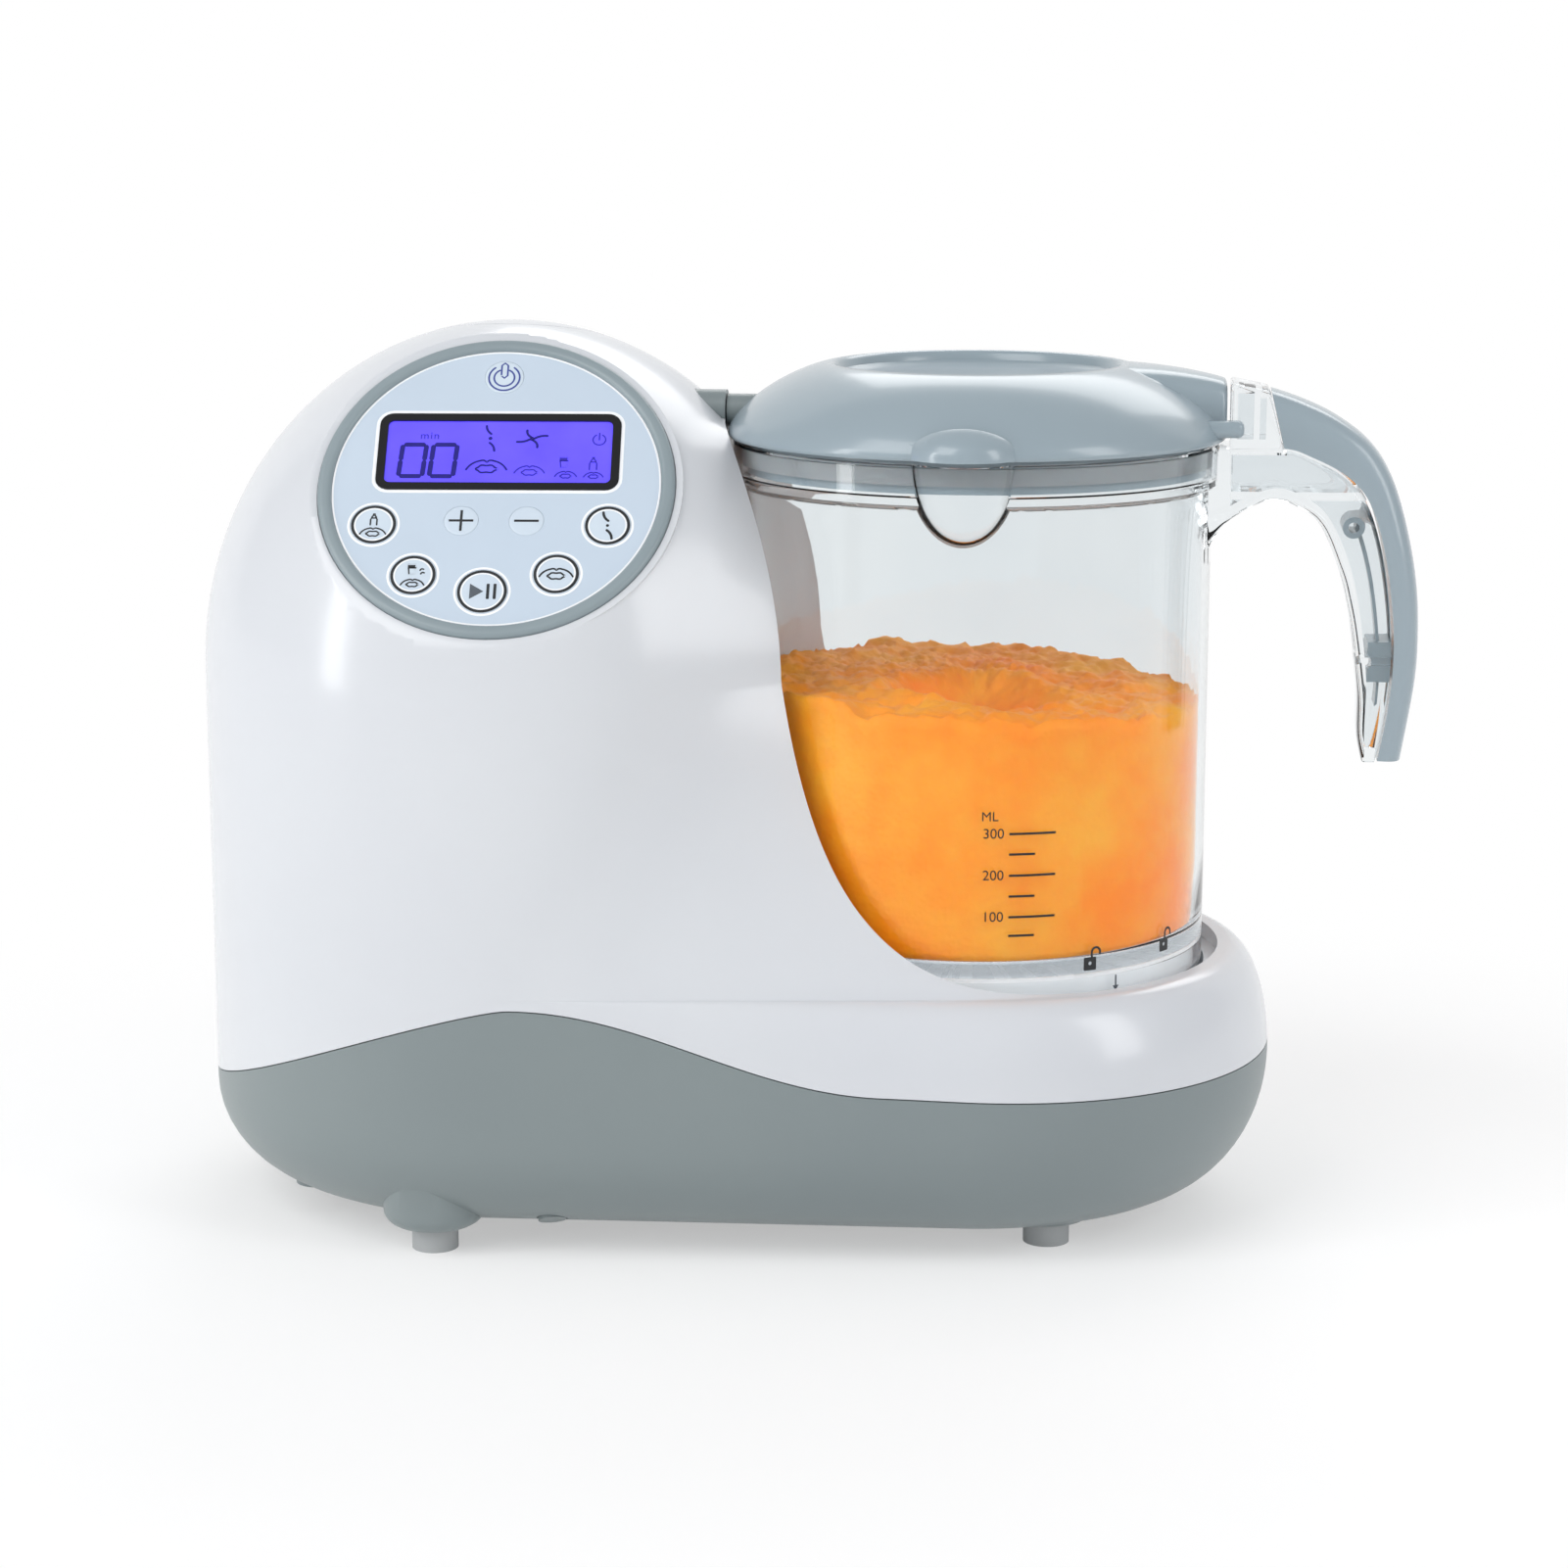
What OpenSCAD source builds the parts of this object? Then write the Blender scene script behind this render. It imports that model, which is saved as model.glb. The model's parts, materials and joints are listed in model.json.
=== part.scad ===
// Baby food maker: a water tower with a round control panel, and a blending jug that stands in
// the cradle beside it. Millimetres, +Z up, the table at z = 0.
// X runs from the tower to the jug's handle, and the front is at -Y.

/* [Layout] */
// Distance from the jug's axis to the tower's axis
axis_gap = 115; // [112:1:120]
// Height of the underside of the casing above the table
clearance_z = 6; // [5:0.5:9]
// Wall of the white and grey shells
shell_wall = 2.5; // [2:0.1:3]
// Air left along the seam between the two shells
seam_gap = 0.3; // [0.2:0.05:0.5]

/* [Tower] */
// Radius of the tower
tower_r = 77; // [75:0.5:79]
// Height at which the dome starts
dome_z = 135; // [133:1:139]
// Height of the dome alone
dome_h = 84; // [81:0.5:86]

/* [Base] */
// Largest radius of the base round the jug
base_r = 74.5; // [72:0.5:78]
// Height of the base's widest line
base_mid_z = 40; // [36:1:44]
// Height of the low rim of the cradle
rim_z = 66; // [64:0.5:68]
// Radius of the cradle that the jug stands in
cradle_r = 61.5; // [61.3:0.1:63]
// Height of the floor of the jug's well
well_floor_z = 46; // [45:0.5:47]
// Air between the jug's skirt and the well
well_fit = 0.6; // [0.4:0.1:1]

/* [Jug] */
// Outer diameter of the jug
jug_d = 115; // [112:0.5:116]
// Wall of the jug
jug_wall = 2; // [1.6:0.1:2.4]
// Height of the jug's inside floor above the table
jug_floor_z = 72; // [70:0.5:74]
// Thickness of the jug's floor
jug_floor_t = 3; // [2.5:0.1:4]
// Height of the jug's rim above the table
jug_rim_z = 191; // [188:0.5:194]
// Height of the wider band under the rim
jug_band_h = 10; // [8:0.5:12]
// Step outwards of that band
jug_band_step = 2; // [1.6:0.1:2.4]
// Radius of the pouring spout at its mouth
spout_r = 13.5; // [11:0.5:15]
// Height of the pouring spout
spout_h = 21; // [16:1:26]

/* [Handle] */
// Reach of the handle's outside from the jug's axis
handle_reach = 108; // [106:0.5:111]
// Width of the handle
handle_w = 22; // [18:0.5:26]
// Wall of the clear handle channel
handle_wall = 2; // [1.6:0.1:2.6]

/* [Lid] */
// Outer radius of the lid
lid_r = 60.8; // [60.4:0.1:61]
// Height of the lid
lid_h = 18; // [16:0.5:20]
// Wall of the lid
lid_wall = 2.2; // [1.8:0.1:2.6]
// Radius of the round recess in the lid's top
lid_recess_r = 34.4; // [30:0.5:38]
// Depth of that recess
lid_recess_h = 5.2; // [4.6:0.1:6.5]

/* [Panel] */
// Outer diameter of the panel's ring
panel_d = 84.5; // [81:0.5:88]
// Width of the panel's ring
ring_w = 3.3; // [2.6:0.1:4]
// Angle that the panel leans back from upright
panel_lean = 41; // [38:1:44]
// Angle that the panel turns towards the jug
panel_turn = 4; // [0:1:6]
// Height of the panel's centre above the table
panel_z = 183.3; // [181:0.1:185]
// Distance of the panel's centre in front of the tower's axis
panel_front = 46; // [44:0.5:48]
// Distance of the panel's centre from the tower's axis towards the jug
panel_side = 4.3; // [3:0.1:6]
// Diameter of the round keys
key_d = 10.7; // [10:0.1:11.4]
// Travel of each key
key_travel = 0.6; // [0.4:0.1:0.8]
// Air round each key
key_fit = 0.25; // [0.2:0.05:0.3]

/* [Tank] */
// Radius of the lid over the water tank
tank_lid_r = 24; // [22:0.5:25]
// Distance of that lid's centre behind the tower's axis
tank_lid_back = 17; // [16:0.5:18]
// Radius of the water tank
tank_r = 36; // [32:0.5:38]
// Height of the water tank's body
tank_h = 74; // [66:1:76]
// Wall of the water tank
tank_wall = 2; // [1.6:0.1:2.4]
// Diameter of the lid's hinge pin
hinge_pin_d = 2.6; // [2.2:0.1:3]

/* [Drive] */
// Radius of the motor's can
motor_r = 24; // [20:0.5:26]
// Diameter of the motor's shaft
shaft_d = 6; // [5:0.5:7]
// Diameter of the blade spindle
spindle_d = 8; // [7:0.5:9]
// Radial running fit of shafts in their bearings
run_fit = 0.05; // [0.03:0.01:0.08]
// Radius that the blades sweep
blade_reach = 40; // [34:1:46]
// Height of the blade hub
hub_h = 36; // [30:1:40]

/* [Feet] */
// Radius of each foot pad
pad_r = 5.6; // [4.5:0.1:7]
// Radius of the bulb that carries a pad
bulb_r = 12.4; // [11:0.2:14]
// Length of the peg on a foot pad
peg_h = 3; // [2:0.5:4]
// Diameter of the casing screws
screw_d = 3.4; // [3:0.1:4]

/* [Hidden] */
$fn = 64;
eps = 0.01;
overall_left = axis_gap + tower_r;
jug_x = (overall_left - handle_reach) / 2;
tower_x = jug_x - axis_gap;
jug_r = jug_d / 2;
slip = 0.3;

// The seam between the white shell and the grey casing is a wave along X.
seam_crest_x = -105;
seam_crest_z = 63.6;
seam_left_z = 31;
seam_low_z = 44.6;
seam_right_run = 90;
seam_right_fall = 0.026;
seam_left_power = 1.35;

function seam_z(x) =
    x < seam_crest_x
    ? seam_crest_z - (seam_crest_z - seam_left_z)
        * pow((seam_crest_x - x) / (overall_left + seam_crest_x), seam_left_power)
    : seam_low_z + (seam_crest_z - seam_low_z)
        * pow(cos(90 * min(1, (x - seam_crest_x) / seam_right_run)), 2)
        - seam_right_fall * max(0, x - seam_crest_x - seam_right_run);

// Radius of the tower and of the base at a height, for a shell inset by t.
foot_round_z = 30;
foot_round_in = 26;
shoulder_in = 10.5;
swoosh_z = 137;
swoosh_power = 0.19;
swoosh_lead = 17.7;

outer_sides = 72;
inner_sides = 44;
function arc_drop(u) = 1 - sqrt(max(0, 1 - u * u));
function tower_rad(z, t) =
    z > dome_z
    ? (tower_r - t) * sqrt(max(0, 1 - pow((z - dome_z) / (dome_h - t), 2)))
    : z > foot_round_z ? tower_r - t
    : tower_r - t - foot_round_in * arc_drop((foot_round_z - z) / (foot_round_z - clearance_z));
function base_rad(z, t) =
    z < base_mid_z
    ? base_r - t - foot_round_in * arc_drop((base_mid_z - z) / (base_mid_z - clearance_z))
    : base_r - t - shoulder_in * arc_drop((z - base_mid_z) / (rim_z - base_mid_z));

// Above the rim the plan is the tower's circle joined to a circle that shrinks away from the jug.
function swoosh_s(z) = min(1, max(0, (z - rim_z) / (swoosh_z - rim_z)));
function cross_x_full() =
    -(pow(axis_gap, 2) - pow(tower_r, 2) + pow(cradle_r, 2)) / (2 * axis_gap);
function cross_x(z) =
    z <= swoosh_z
    ? cradle_r - (cradle_r - cross_x_full()) * pow(swoosh_s(z), swoosh_power)
    : max(-cradle_r,
          -(pow(axis_gap, 2) - pow(tower_rad(z, 0), 2) + pow(cradle_r, 2)) / (2 * axis_gap));
function cross_y(z) = sqrt(max(0, pow(cradle_r, 2) - pow(cross_x(z), 2)));
function side_y(z) = cross_x(z) > 0 ? cradle_r : cross_y(z);
function side_r(z) = sqrt(pow(side_y(z), 2) + pow(swoosh_lead * (1 - swoosh_s(z)), 2));
function side_x(z) = cross_x(z) - sqrt(max(0, pow(side_r(z), 2) - pow(cross_y(z), 2)));

// Second circle of the plan as [x from the jug's axis, radius], kept inside the tower up the dome.
function second_circle(z, t) =
    z <= rim_z ? [0, base_rad(z, t)]
    : let (a = max(0.5, tower_rad(z, t)), r = side_r(z) - t, x = side_x(z))
      r > 1 && cross_x(z) > -cradle_r + 0.5 ? [x, r] : [-axis_gap + a * 0.4, a * 0.5];

// Distance from a point on the X axis to the far side of a circle, along a direction.
function circle_hit(c, x, r, u) =
    let (d = c - x, q = pow(u[0] * d, 2) - d * d + r * r) q < 0 ? -1 : -u[0] * d + sqrt(q);
// Distance from c to the line hugging both circles, or -1 where the ray leaves by an arc.
function line_hit(c, x0, r0, x1, r1, u) =
    let (k = (r0 - r1) / max(0.001, x1 - x0))
    abs(k) >= 0.999 ? -1
    : let (n = [k, sqrt(1 - k * k)], f = n * [u[0], abs(u[1])])
      f <= 0.0001 ? -1
      : let (d = (n[0] * (x0 - c) + r0) / f, x = c + d * u[0])
        x > x0 + r0 * k && x < x1 + r1 * k ? d : -1;
// Plan of the casing at a height: a loop round two circles, its points at equal angles.
function plan(z, t, n) =
    let (a = max(0.5, tower_rad(z, t)), p = second_circle(z, t),
         right = max(p[0] + p[1], a - axis_gap), c = (right - axis_gap - a) / 2)
    [for (i = [0:n - 1]) let (w = 360 * i / n, u = [cos(w), sin(w)],
        d = max(circle_hit(c, -axis_gap, a, u), circle_hit(c, p[0], p[1], u),
                line_hit(c, -axis_gap, a, p[0], p[1], u)))
        [jug_x + c + d * u[0], d * u[1]]];

// A closed solid through the plans at a list of heights.
module loft(heights, t, n) {
    k = len(heights);
    pts = [for (z = heights) for (p = plan(z, t, n)) [p[0], p[1], z]];
    walls = [for (j = [0:k - 2]) for (i = [0:n - 1])
        let (a = j * n + i, b = j * n + (i + 1) % n) each [[a, a + n, b], [b, a + n, b + n]]];
    polyhedron(pts,
        concat(walls, [[for (i = [0:n - 1]) i]], [[for (i = [n - 1:-1:0]) (k - 1) * n + i]]));
}

function steps(a, b, n) = [for (i = [0:n]) a + (b - a) * i / n];
function dome_steps(t, n) = [for (i = [1:n]) dome_z + (dome_h - t) * sin(88.5 * i / n)];
// Height of the dome in the plane through the tower's axis, for a surface inset by t.
function dome_at(y, t) = dome_z + (dome_h - t) * sqrt(1 - pow(y / (tower_r - t), 2));
function outer_heights() = concat(
    [for (i = [0:5]) clearance_z + (foot_round_z - clearance_z) * (1 - cos(15 * i)) ],
    steps(foot_round_z + 3, base_mid_z, 2),
    [for (i = [1:5]) base_mid_z + (rim_z - base_mid_z) * sin(18 * i)],
    [for (i = [1:8]) rim_z + (swoosh_z - rim_z) * pow(i / 8, 2)],
    [max(swoosh_z, dome_z) + 1], dome_steps(0, 12));
function inner_heights(z0) = concat(
    [z0], [for (i = [1:4]) z0 + (foot_round_z - z0) * (1 - cos(22.5 * i))],
    steps(base_mid_z, rim_z - 1, 3),
    [for (i = [1:5]) rim_z + (swoosh_z - rim_z) * pow(i / 5, 2)],
    [max(swoosh_z, dome_z) + 1], dome_steps(shell_wall, 8));

module at_jug() { translate([jug_x, 0, 0]) children(); }
module at_tower() { translate([tower_x, 0, 0]) children(); }
// The panel's own frame: +X to the right, +Y up its face, +Z out of it.
module on_panel() {
    translate([tower_x + panel_side, -panel_front, panel_z])
        rotate([0, 0, panel_turn]) rotate([90 - panel_lean, 0, 0]) children();
}
module tube(r_out, r_in, h) {
    difference() {
        cylinder(r = r_out, h = h);
        translate([0, 0, -eps]) cylinder(r = r_in, h = h + 2 * eps);
    }
}
// Everything above (side = 1) or below (side = -1) the seam.
module seam_side(side, gap) {
    far = 400;
    n = 30;
    xs = [for (i = [0:n]) -overall_left - 10 + (overall_left + base_r + 20) * i / n];
    translate([jug_x, far / 2, 0]) rotate([90, 0, 0]) linear_extrude(far)
        polygon(concat([for (x = xs) [x, seam_z(max(-overall_left, x)) + side * gap]],
            [[xs[n], side * far], [xs[0], side * far]]));
}

// ---- places shared by several pieces ----
pocket_r = panel_d / 2 + 0.2;
pocket_h = 4;
panel_hole_r = panel_d / 2 - 5;
panel_reach = 1.56 * panel_d / 2;
tank_z = 100;
tank_wall_top = tank_z + tank_h;
chassis_z = 66;
chassis_t = 3;
chassis_r = tower_r - shell_wall - 5.5;
well_r = jug_r + well_fit;
well_wall_r = cradle_r + shell_wall;
well_step_z = 62;
well_under_z = well_floor_z - shell_wall;
hinge_y = tank_lid_back + tank_lid_r;
hinge_z = dome_at(hinge_y, 0) - 4.2;
knuckle_r = 4.2;
knuckle_w = 18;
lid_trim_y = hinge_y - 5;
nozzle_z = 197.5;
nozzle_r = 5;
nozzle_in = 38;
hose_out = 41;
foot_spots = [for (y = [-1, 1]) each [
    [tower_x - 0.143 * tower_r, 0.78 * y * tower_r], [jug_x + 0.282 * base_r, 0.537 * y * base_r]]];
column_spots = [for (y = [-1, 1]) each [
    [tower_x - 0.59 * tower_r, 0.436 * y * tower_r], [tower_x + 0.15 * tower_r, 0.62 * y * tower_r]]];
column_r = 6;
column_bore_r = 4;
column_top_z = chassis_z;
column_seat_z = chassis_z - 12;
well_spots = [for (y = [-1, 1]) [jug_x + 0.5 * base_r, 0.36 * y * base_r]];
gland_z = 38;
gland_r = 6;
gland_bore_r = 3.5;
gland_flange_r = gland_r + 2.5;
gland_flange_at = tower_r + 0.1 - sqrt(pow(tower_r - shell_wall, 2) - pow(gland_flange_r, 2));
plunger_r = 2.1;
plunger_at = 55.8;
plunger_turn = 150;
// The drain plug stands square to the casing's rounded foot.
drain_r = 2.6;
drain_z = clearance_z + 3.5;
drain_x = 0.234 * tower_r;
drain_reach = tower_rad(drain_z, 0);
drain_y = -sqrt(pow(drain_reach, 2) - pow(drain_x, 2));
drain_dip = atan2((foot_round_z - drain_z) / pow(foot_round_z - clearance_z, 2),
    (drain_reach - tower_r + foot_round_in) / pow(foot_round_in, 2));
// Places on the panel are shares of its radius. A key is [node, x, y, diameter].
panel_r = panel_d / 2;
key_spots = [
    ["power_key", 0, 0.744 * panel_r, key_d - 1.8],
    ["plus_key", -0.182 * panel_r, -0.233 * panel_r, key_d - 3],
    ["minus_key", 0.182 * panel_r, -0.233 * panel_r, key_d - 3],
    ["sterilise_key", -0.668 * panel_r, -0.262 * panel_r, key_d],
    ["blend_key", 0.634 * panel_r, -0.262 * panel_r, key_d],
    ["warm_key", -0.424 * panel_r, -0.594 * panel_r, key_d],
    ["steam_key", 0.366 * panel_r, -0.582 * panel_r, key_d],
    ["start_key", -0.036 * panel_r, -0.698 * panel_r, key_d + 1]];
lcd_w = 1.27 * panel_r;
lcd_h = 0.422 * panel_r;
lcd_y = 0.231 * panel_r;
vent_count = 9;
vent_span = 64;
vent_z = [88, 108];
floor_vent_at = [26, 36];
tank_x = tower_x - 4;
tank_y = 26;
board_x = tower_x - 6;
board_y = -36;
board_w = 64;
board_d = 34;
board_z = 75;
board_t = 1.6;
neck_r = 17;
neck_top_z = hinge_z - 6.5;
boiler_r = 24;
boiler_z = chassis_z + chassis_t;
boiler_top_z = 92;
boiler_wall = 3;
boiler_floor = 9;
hose_z = 83;
hose_r = 4;
heater_r = 3;
// Route of the steam hose from the boiler to the nozzle, measured from the tower's axis.
hose_route = [
    [boiler_r - 7, tank_y, hose_z], [boiler_r - 2.5, tank_y, hose_z], [boiler_r + 7, tank_y, hose_z],
    [hose_out - 1, tank_y - 7, hose_z + 8], [hose_out + 1, 16, 110], [hose_out + 1, 16, nozzle_z - 32],
    [hose_out - 1, 11, nozzle_z - 14], [nozzle_in - 5, 1.5, nozzle_z - 2], [nozzle_in - 2, 0, nozzle_z],
    [nozzle_in + 0.5, 0, nozzle_z], [nozzle_in + 3.6, 0, nozzle_z]];
key_flange_z = 3.5;
// Arm that joins the lid to its knuckle, as [distance behind the tower's axis, height].
arm_line = [
    [lid_trim_y - 3.5, hinge_z + 1.5], [lid_trim_y - 3.5, dome_at(lid_trim_y - 3.5, shell_wall) + 0.9],
    [lid_trim_y + 0.5, dome_at(lid_trim_y + 0.5, 0) - 0.7], [hinge_y, hinge_z + knuckle_r],
    [hinge_y, hinge_z]];
// The shell's edge passes just outside this radius about the hinge when the lid swings.
edge_y = lid_trim_y + slip;
tip_gap = 0.9;
boss_rim = 1.6;
boss_rise = 4;
boss_foot = 0.35;
hinge_clear_r = norm([hinge_y - edge_y, dome_at(edge_y, 0) - hinge_z]) - 0.09;
motor_top_z = 38;
motor_low_z = 11;
can_wall = 1.5;
bearing_r = 6;
dog_z = 47;
dog_h = 9;
spindle_z = dog_z + dog_h + 2.6;
skirt_z = well_floor_z + 0.3;
floor_under_z = jug_floor_z - jug_floor_t;
bush_r = spindle_d / 2 + 4;
inner_r = jug_r - jug_wall;
band_z = jug_rim_z - jug_band_h;
// Handle lines as [x from the jug's axis, height]: finger side, face under the cover, outside.
spout_y = -jug_r + 5.5;
reach = handle_reach;
handle_low_z = 114.5;
finger_line = [
    [jug_r - 1, 165], [jug_r + 3.4, 172], [jug_r + 13.5, 177.6], [jug_r + 21.5, 175.6],
    [jug_r + 26.5, 171], [reach - 19.6, 160.5], [reach - 17.4, 152], [reach - 15.9, 143.5],
    [reach - 14.4, 131], [reach - 14.2, 121], [reach - 13, handle_low_z]];
under_line = [
    [jug_r - 1, jug_rim_z - 0.4], [jug_r + 9, jug_rim_z - 0.4], [jug_r + 17.5, jug_rim_z - 0.8],
    [reach - 28, 188.6], [reach - 19.5, 184.3], [reach - 13.5, 178], [reach - 9.6, 167],
    [reach - 7.2, 153], [reach - 6.4, 140], [reach - 7.4, 127], [reach - 9.6, handle_low_z]];
outer_line = [
    [jug_r + 3.5, 206.4], [jug_r + 12, 204.6], [jug_r + 21.5, 201.5], [reach - 20.5, 197.4],
    [reach - 12.5, 191.2], [reach - 7.2, 182.8], [reach - 3.4, 171], [reach - 0.85, 158],
    [reach - 0.05, 146], [reach - 0.5, 133.5], [reach - 2.4, 120], [reach - 3.4, handle_low_z]];
tab_len = 3.8;
// Line that parts the grey cover from the clear root of the handle, as [x from the axis, height].
root_in = lid_r + 0.6;
root_foot = [lid_r + 14.2, jug_rim_z - 3];
lid_z = jug_rim_z + 1;
root_top = [lid_r + 8.9, lid_z + lid_h];
root_low = 2 * root_foot - root_top;
hub_low_z = jug_floor_z + 3.25;
hub_top_z = hub_low_z + hub_h;
hub_r = 8.5;
low_blade_z = hub_low_z + 4;
high_blade_z = hub_top_z - 8;
blade_t = 1.5;
lid_top_z = lid_z + lid_h;
tab_h = 4;
tab_w = 6;
tab_y = -17.5;
lid_shape = 1.35;
switch_top_z = 38.6;

module dome_ellipsoid(t) {
    translate([tower_x, 0, dome_z]) scale([(tower_r - t) / 10, (tower_r - t) / 10, (dome_h - t) / 10])
        sphere(r = 10, $fn = 60);
}

// ---- shells ----
module panel_boss(extra) {
    on_panel() translate([0, 0, -16]) cylinder(r = pocket_r + extra, h = 16);
}
module upper_shell() color("white") difference() {
    union() {
        difference() {
            intersection() {
                loft(outer_heights(), 0, outer_sides);
                seam_side(1, seam_gap / 2);
            }
            difference() {
                loft(inner_heights(clearance_z + shell_wall), shell_wall, inner_sides);
                at_jug() translate([0, 0, well_under_z]) cylinder(r = well_wall_r, h = 200);
                on_panel() translate([0, 0, -pocket_h - shell_wall]) cylinder(r = panel_reach, h = 60);
            }
        }
        intersection() {
            panel_boss(boss_rim);
            dome_ellipsoid(-boss_rise);
            on_panel() translate([0, 0, boss_foot - pocket_h - shell_wall])
                cylinder(r = panel_reach, h = 60);
        }
        at_jug() translate([0, 0, well_under_z]) cylinder(r = well_wall_r, h = rim_z - well_under_z - 2);
        for (side = [-1, 1]) hinge_lug(side);
    }
    on_panel() cylinder(r = 2 * panel_d / 2, h = 60);
    on_panel() translate([0, 0, -pocket_h]) cylinder(r = pocket_r, h = 60);
    on_panel() translate([0, 0, -40]) cylinder(r = panel_hole_r, h = 60);
    at_jug() translate([0, 0, well_floor_z]) cylinder(r = well_r, h = 200);
    at_jug() translate([0, 0, well_step_z]) cylinder(r = cradle_r, h = 200, $fn = 96);
    at_jug() translate([0, 0, well_under_z - 1]) cylinder(r = 12, h = 10);
    at_jug() for (a = [45:90:315]) rotate(a) translate([29, 0, well_under_z - 1])
        cylinder(r = 1.7, h = 10, $fn = 16);
    plunger_hole();
    tank_opening();
    steam_port();
    for (i = [0:vent_count - 1]) rear_vent(i);
    for (p = well_spots) translate([p[0], p[1], well_under_z - eps])
        cylinder(d = screw_d + 0.2, h = 1.8, $fn = 16);
    for (a = [45:90:315]) on_panel() rotate(a) translate([panel_hole_r + 1.6, 0, -pocket_h - 5])
        cylinder(r = 0.9, h = 4.8, $fn = 12);
}
module plunger_hole() {
    at_jug() rotate(plunger_turn) translate([plunger_at, 0, well_under_z - 1])
        cylinder(r = plunger_r + run_fit, h = 6);
}
module hinge_lug(side) {
    translate([tower_x + side * (knuckle_w / 2 + slip + 3), hinge_y, hinge_z]) rotate([0, 90, 0])
        translate([0, 0, -3]) cylinder(r = 3.6, h = 6, $fn = 24);
}
module tank_opening() {
    translate([tower_x, 0, hinge_z - 20]) {
        intersection() {
            // The back of the rim stands off, so that the lid's edge can tip past it.
            hull() for (back = [0, tip_gap])
                translate([0, tank_lid_back + back, 0]) cylinder(r = tank_lid_r + slip, h = 60);
            translate([-tower_r / 2, -tower_r / 2, 0]) cube([tower_r, tower_r / 2 + edge_y, 60]);
        }
        translate([-knuckle_w / 2 - slip, lid_trim_y - 4, 20])
            cube([knuckle_w + 2 * slip, 4 + knuckle_r + slip + hinge_y - lid_trim_y, 40]);
    }
    translate([tower_x - knuckle_w / 2 - slip, hinge_y, hinge_z]) rotate([0, 90, 0])
        cylinder(r = knuckle_r + slip, h = knuckle_w + 2 * slip, $fn = 32);
    translate([tower_x - 15, hinge_y, hinge_z]) rotate([0, 90, 0])
        cylinder(d = hinge_pin_d + 0.1, h = 30, $fn = 24);
}
module steam_port() {
    translate([tower_x + 30, 0, nozzle_z]) rotate([0, 90, 0]) cylinder(r = nozzle_r + 0.1, h = 50);
}
module rear_vent(i) {
    x = tower_x + vent_span * (i / (vent_count - 1) - 0.5);
    hull() for (z = vent_z) translate([x, tower_r - 27, z]) rotate([-90, 0, 0])
        cylinder(r = 1.4, h = 40, $fn = 12);
}
module lower_casing() color([0.51, 0.55, 0.55]) difference() {
    union() {
        difference() {
            intersection() {
                loft(outer_heights(), 0, outer_sides);
                seam_side(-1, seam_gap / 2);
            }
            loft(inner_heights(clearance_z + shell_wall), shell_wall, inner_sides);
        }
        for (p = foot_spots) intersection() {
            translate([p[0], p[1], clearance_z]) cylinder(r = bulb_r, h = 14, $fn = 24);
            translate([p[0], p[1], clearance_z + bulb_r]) sphere(r = bulb_r * 1.16, $fn = 24);
        }
        for (p = column_spots) translate([p[0], p[1], clearance_z + 1])
            cylinder(r = column_r, h = column_top_z - clearance_z - 1, $fn = 20);
        for (p = well_spots) translate([p[0], p[1], clearance_z + 1])
            cylinder(r = column_r, h = well_under_z - clearance_z - 1, $fn = 20);
    }
    for (p = foot_spots) translate([p[0], p[1], clearance_z - 1])
        cylinder(r = pad_r / 2 + 0.05, h = peg_h + 1.05, $fn = 24);
    for (p = column_spots) screw_bore(p, column_seat_z, column_top_z);
    for (p = well_spots) screw_bore(p, well_under_z - 12, well_under_z);
    gland_hole();
    drain_hole();
    for (i = [0:vent_count - 1]) floor_vent(i);
}
module screw_bore(p, seat_z, top_z) {
    translate([p[0], p[1], -1]) cylinder(r = column_bore_r, h = seat_z + 1, $fn = 24);
    translate([p[0], p[1], 0]) cylinder(d = screw_d + 0.2, h = top_z + 1, $fn = 24);
}
module floor_vent(i) {
    a = 360 * i / vent_count;
    at_jug() rotate(a) hull() for (r = floor_vent_at) translate([r, 0, -1])
        cylinder(r = 1.5, h = 14, $fn = 12);
}
module gland_hole() {
    translate([tower_x, tower_r - 20, gland_z]) rotate([-90, 0, 0])
        cylinder(r = gland_r + 0.1, h = 30, $fn = 32);
}
module on_drain() {
    translate([tower_x + drain_x, drain_y, drain_z])
        rotate([0, 0, atan2(drain_y, drain_x)]) rotate([0, 90 + drain_dip, 0]) children();
}
module drain_hole() {
    on_drain() cylinder(r = drain_r + 1.2, h = 3, $fn = 32);
    on_drain() translate([0, 0, -9]) cylinder(r = drain_r + 0.1, h = 12, $fn = 24);
}

// ---- pieces fixed to the shells ----
module foot_pads() color([0.72, 0.74, 0.74]) for (p = foot_spots) translate([p[0], p[1], 0]) {
    cylinder(r = pad_r, h = clearance_z);
    cylinder(r = pad_r / 2, h = clearance_z + peg_h);
}
module screw(p, seat_z, tip_z) {
    translate([p[0], p[1], seat_z - 2]) cylinder(r = column_bore_r - 0.3, h = 2, $fn = 24);
    translate([p[0], p[1], seat_z - eps]) cylinder(d = screw_d, h = tip_z - seat_z, $fn = 24);
}
module casing_screws() color("silver") {
    for (p = column_spots) screw(p, column_seat_z, chassis_z + chassis_t);
    for (p = well_spots) screw(p, well_under_z - 12, well_under_z + 1.7);
}
module drain_plug() color([0.42, 0.45, 0.46]) on_drain() {
    translate([0, 0, 0.05]) cylinder(r = drain_r + 0.8, h = 1.2);
    translate([0, 0, -6]) cylinder(r = drain_r, h = 6.5);
}
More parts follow.
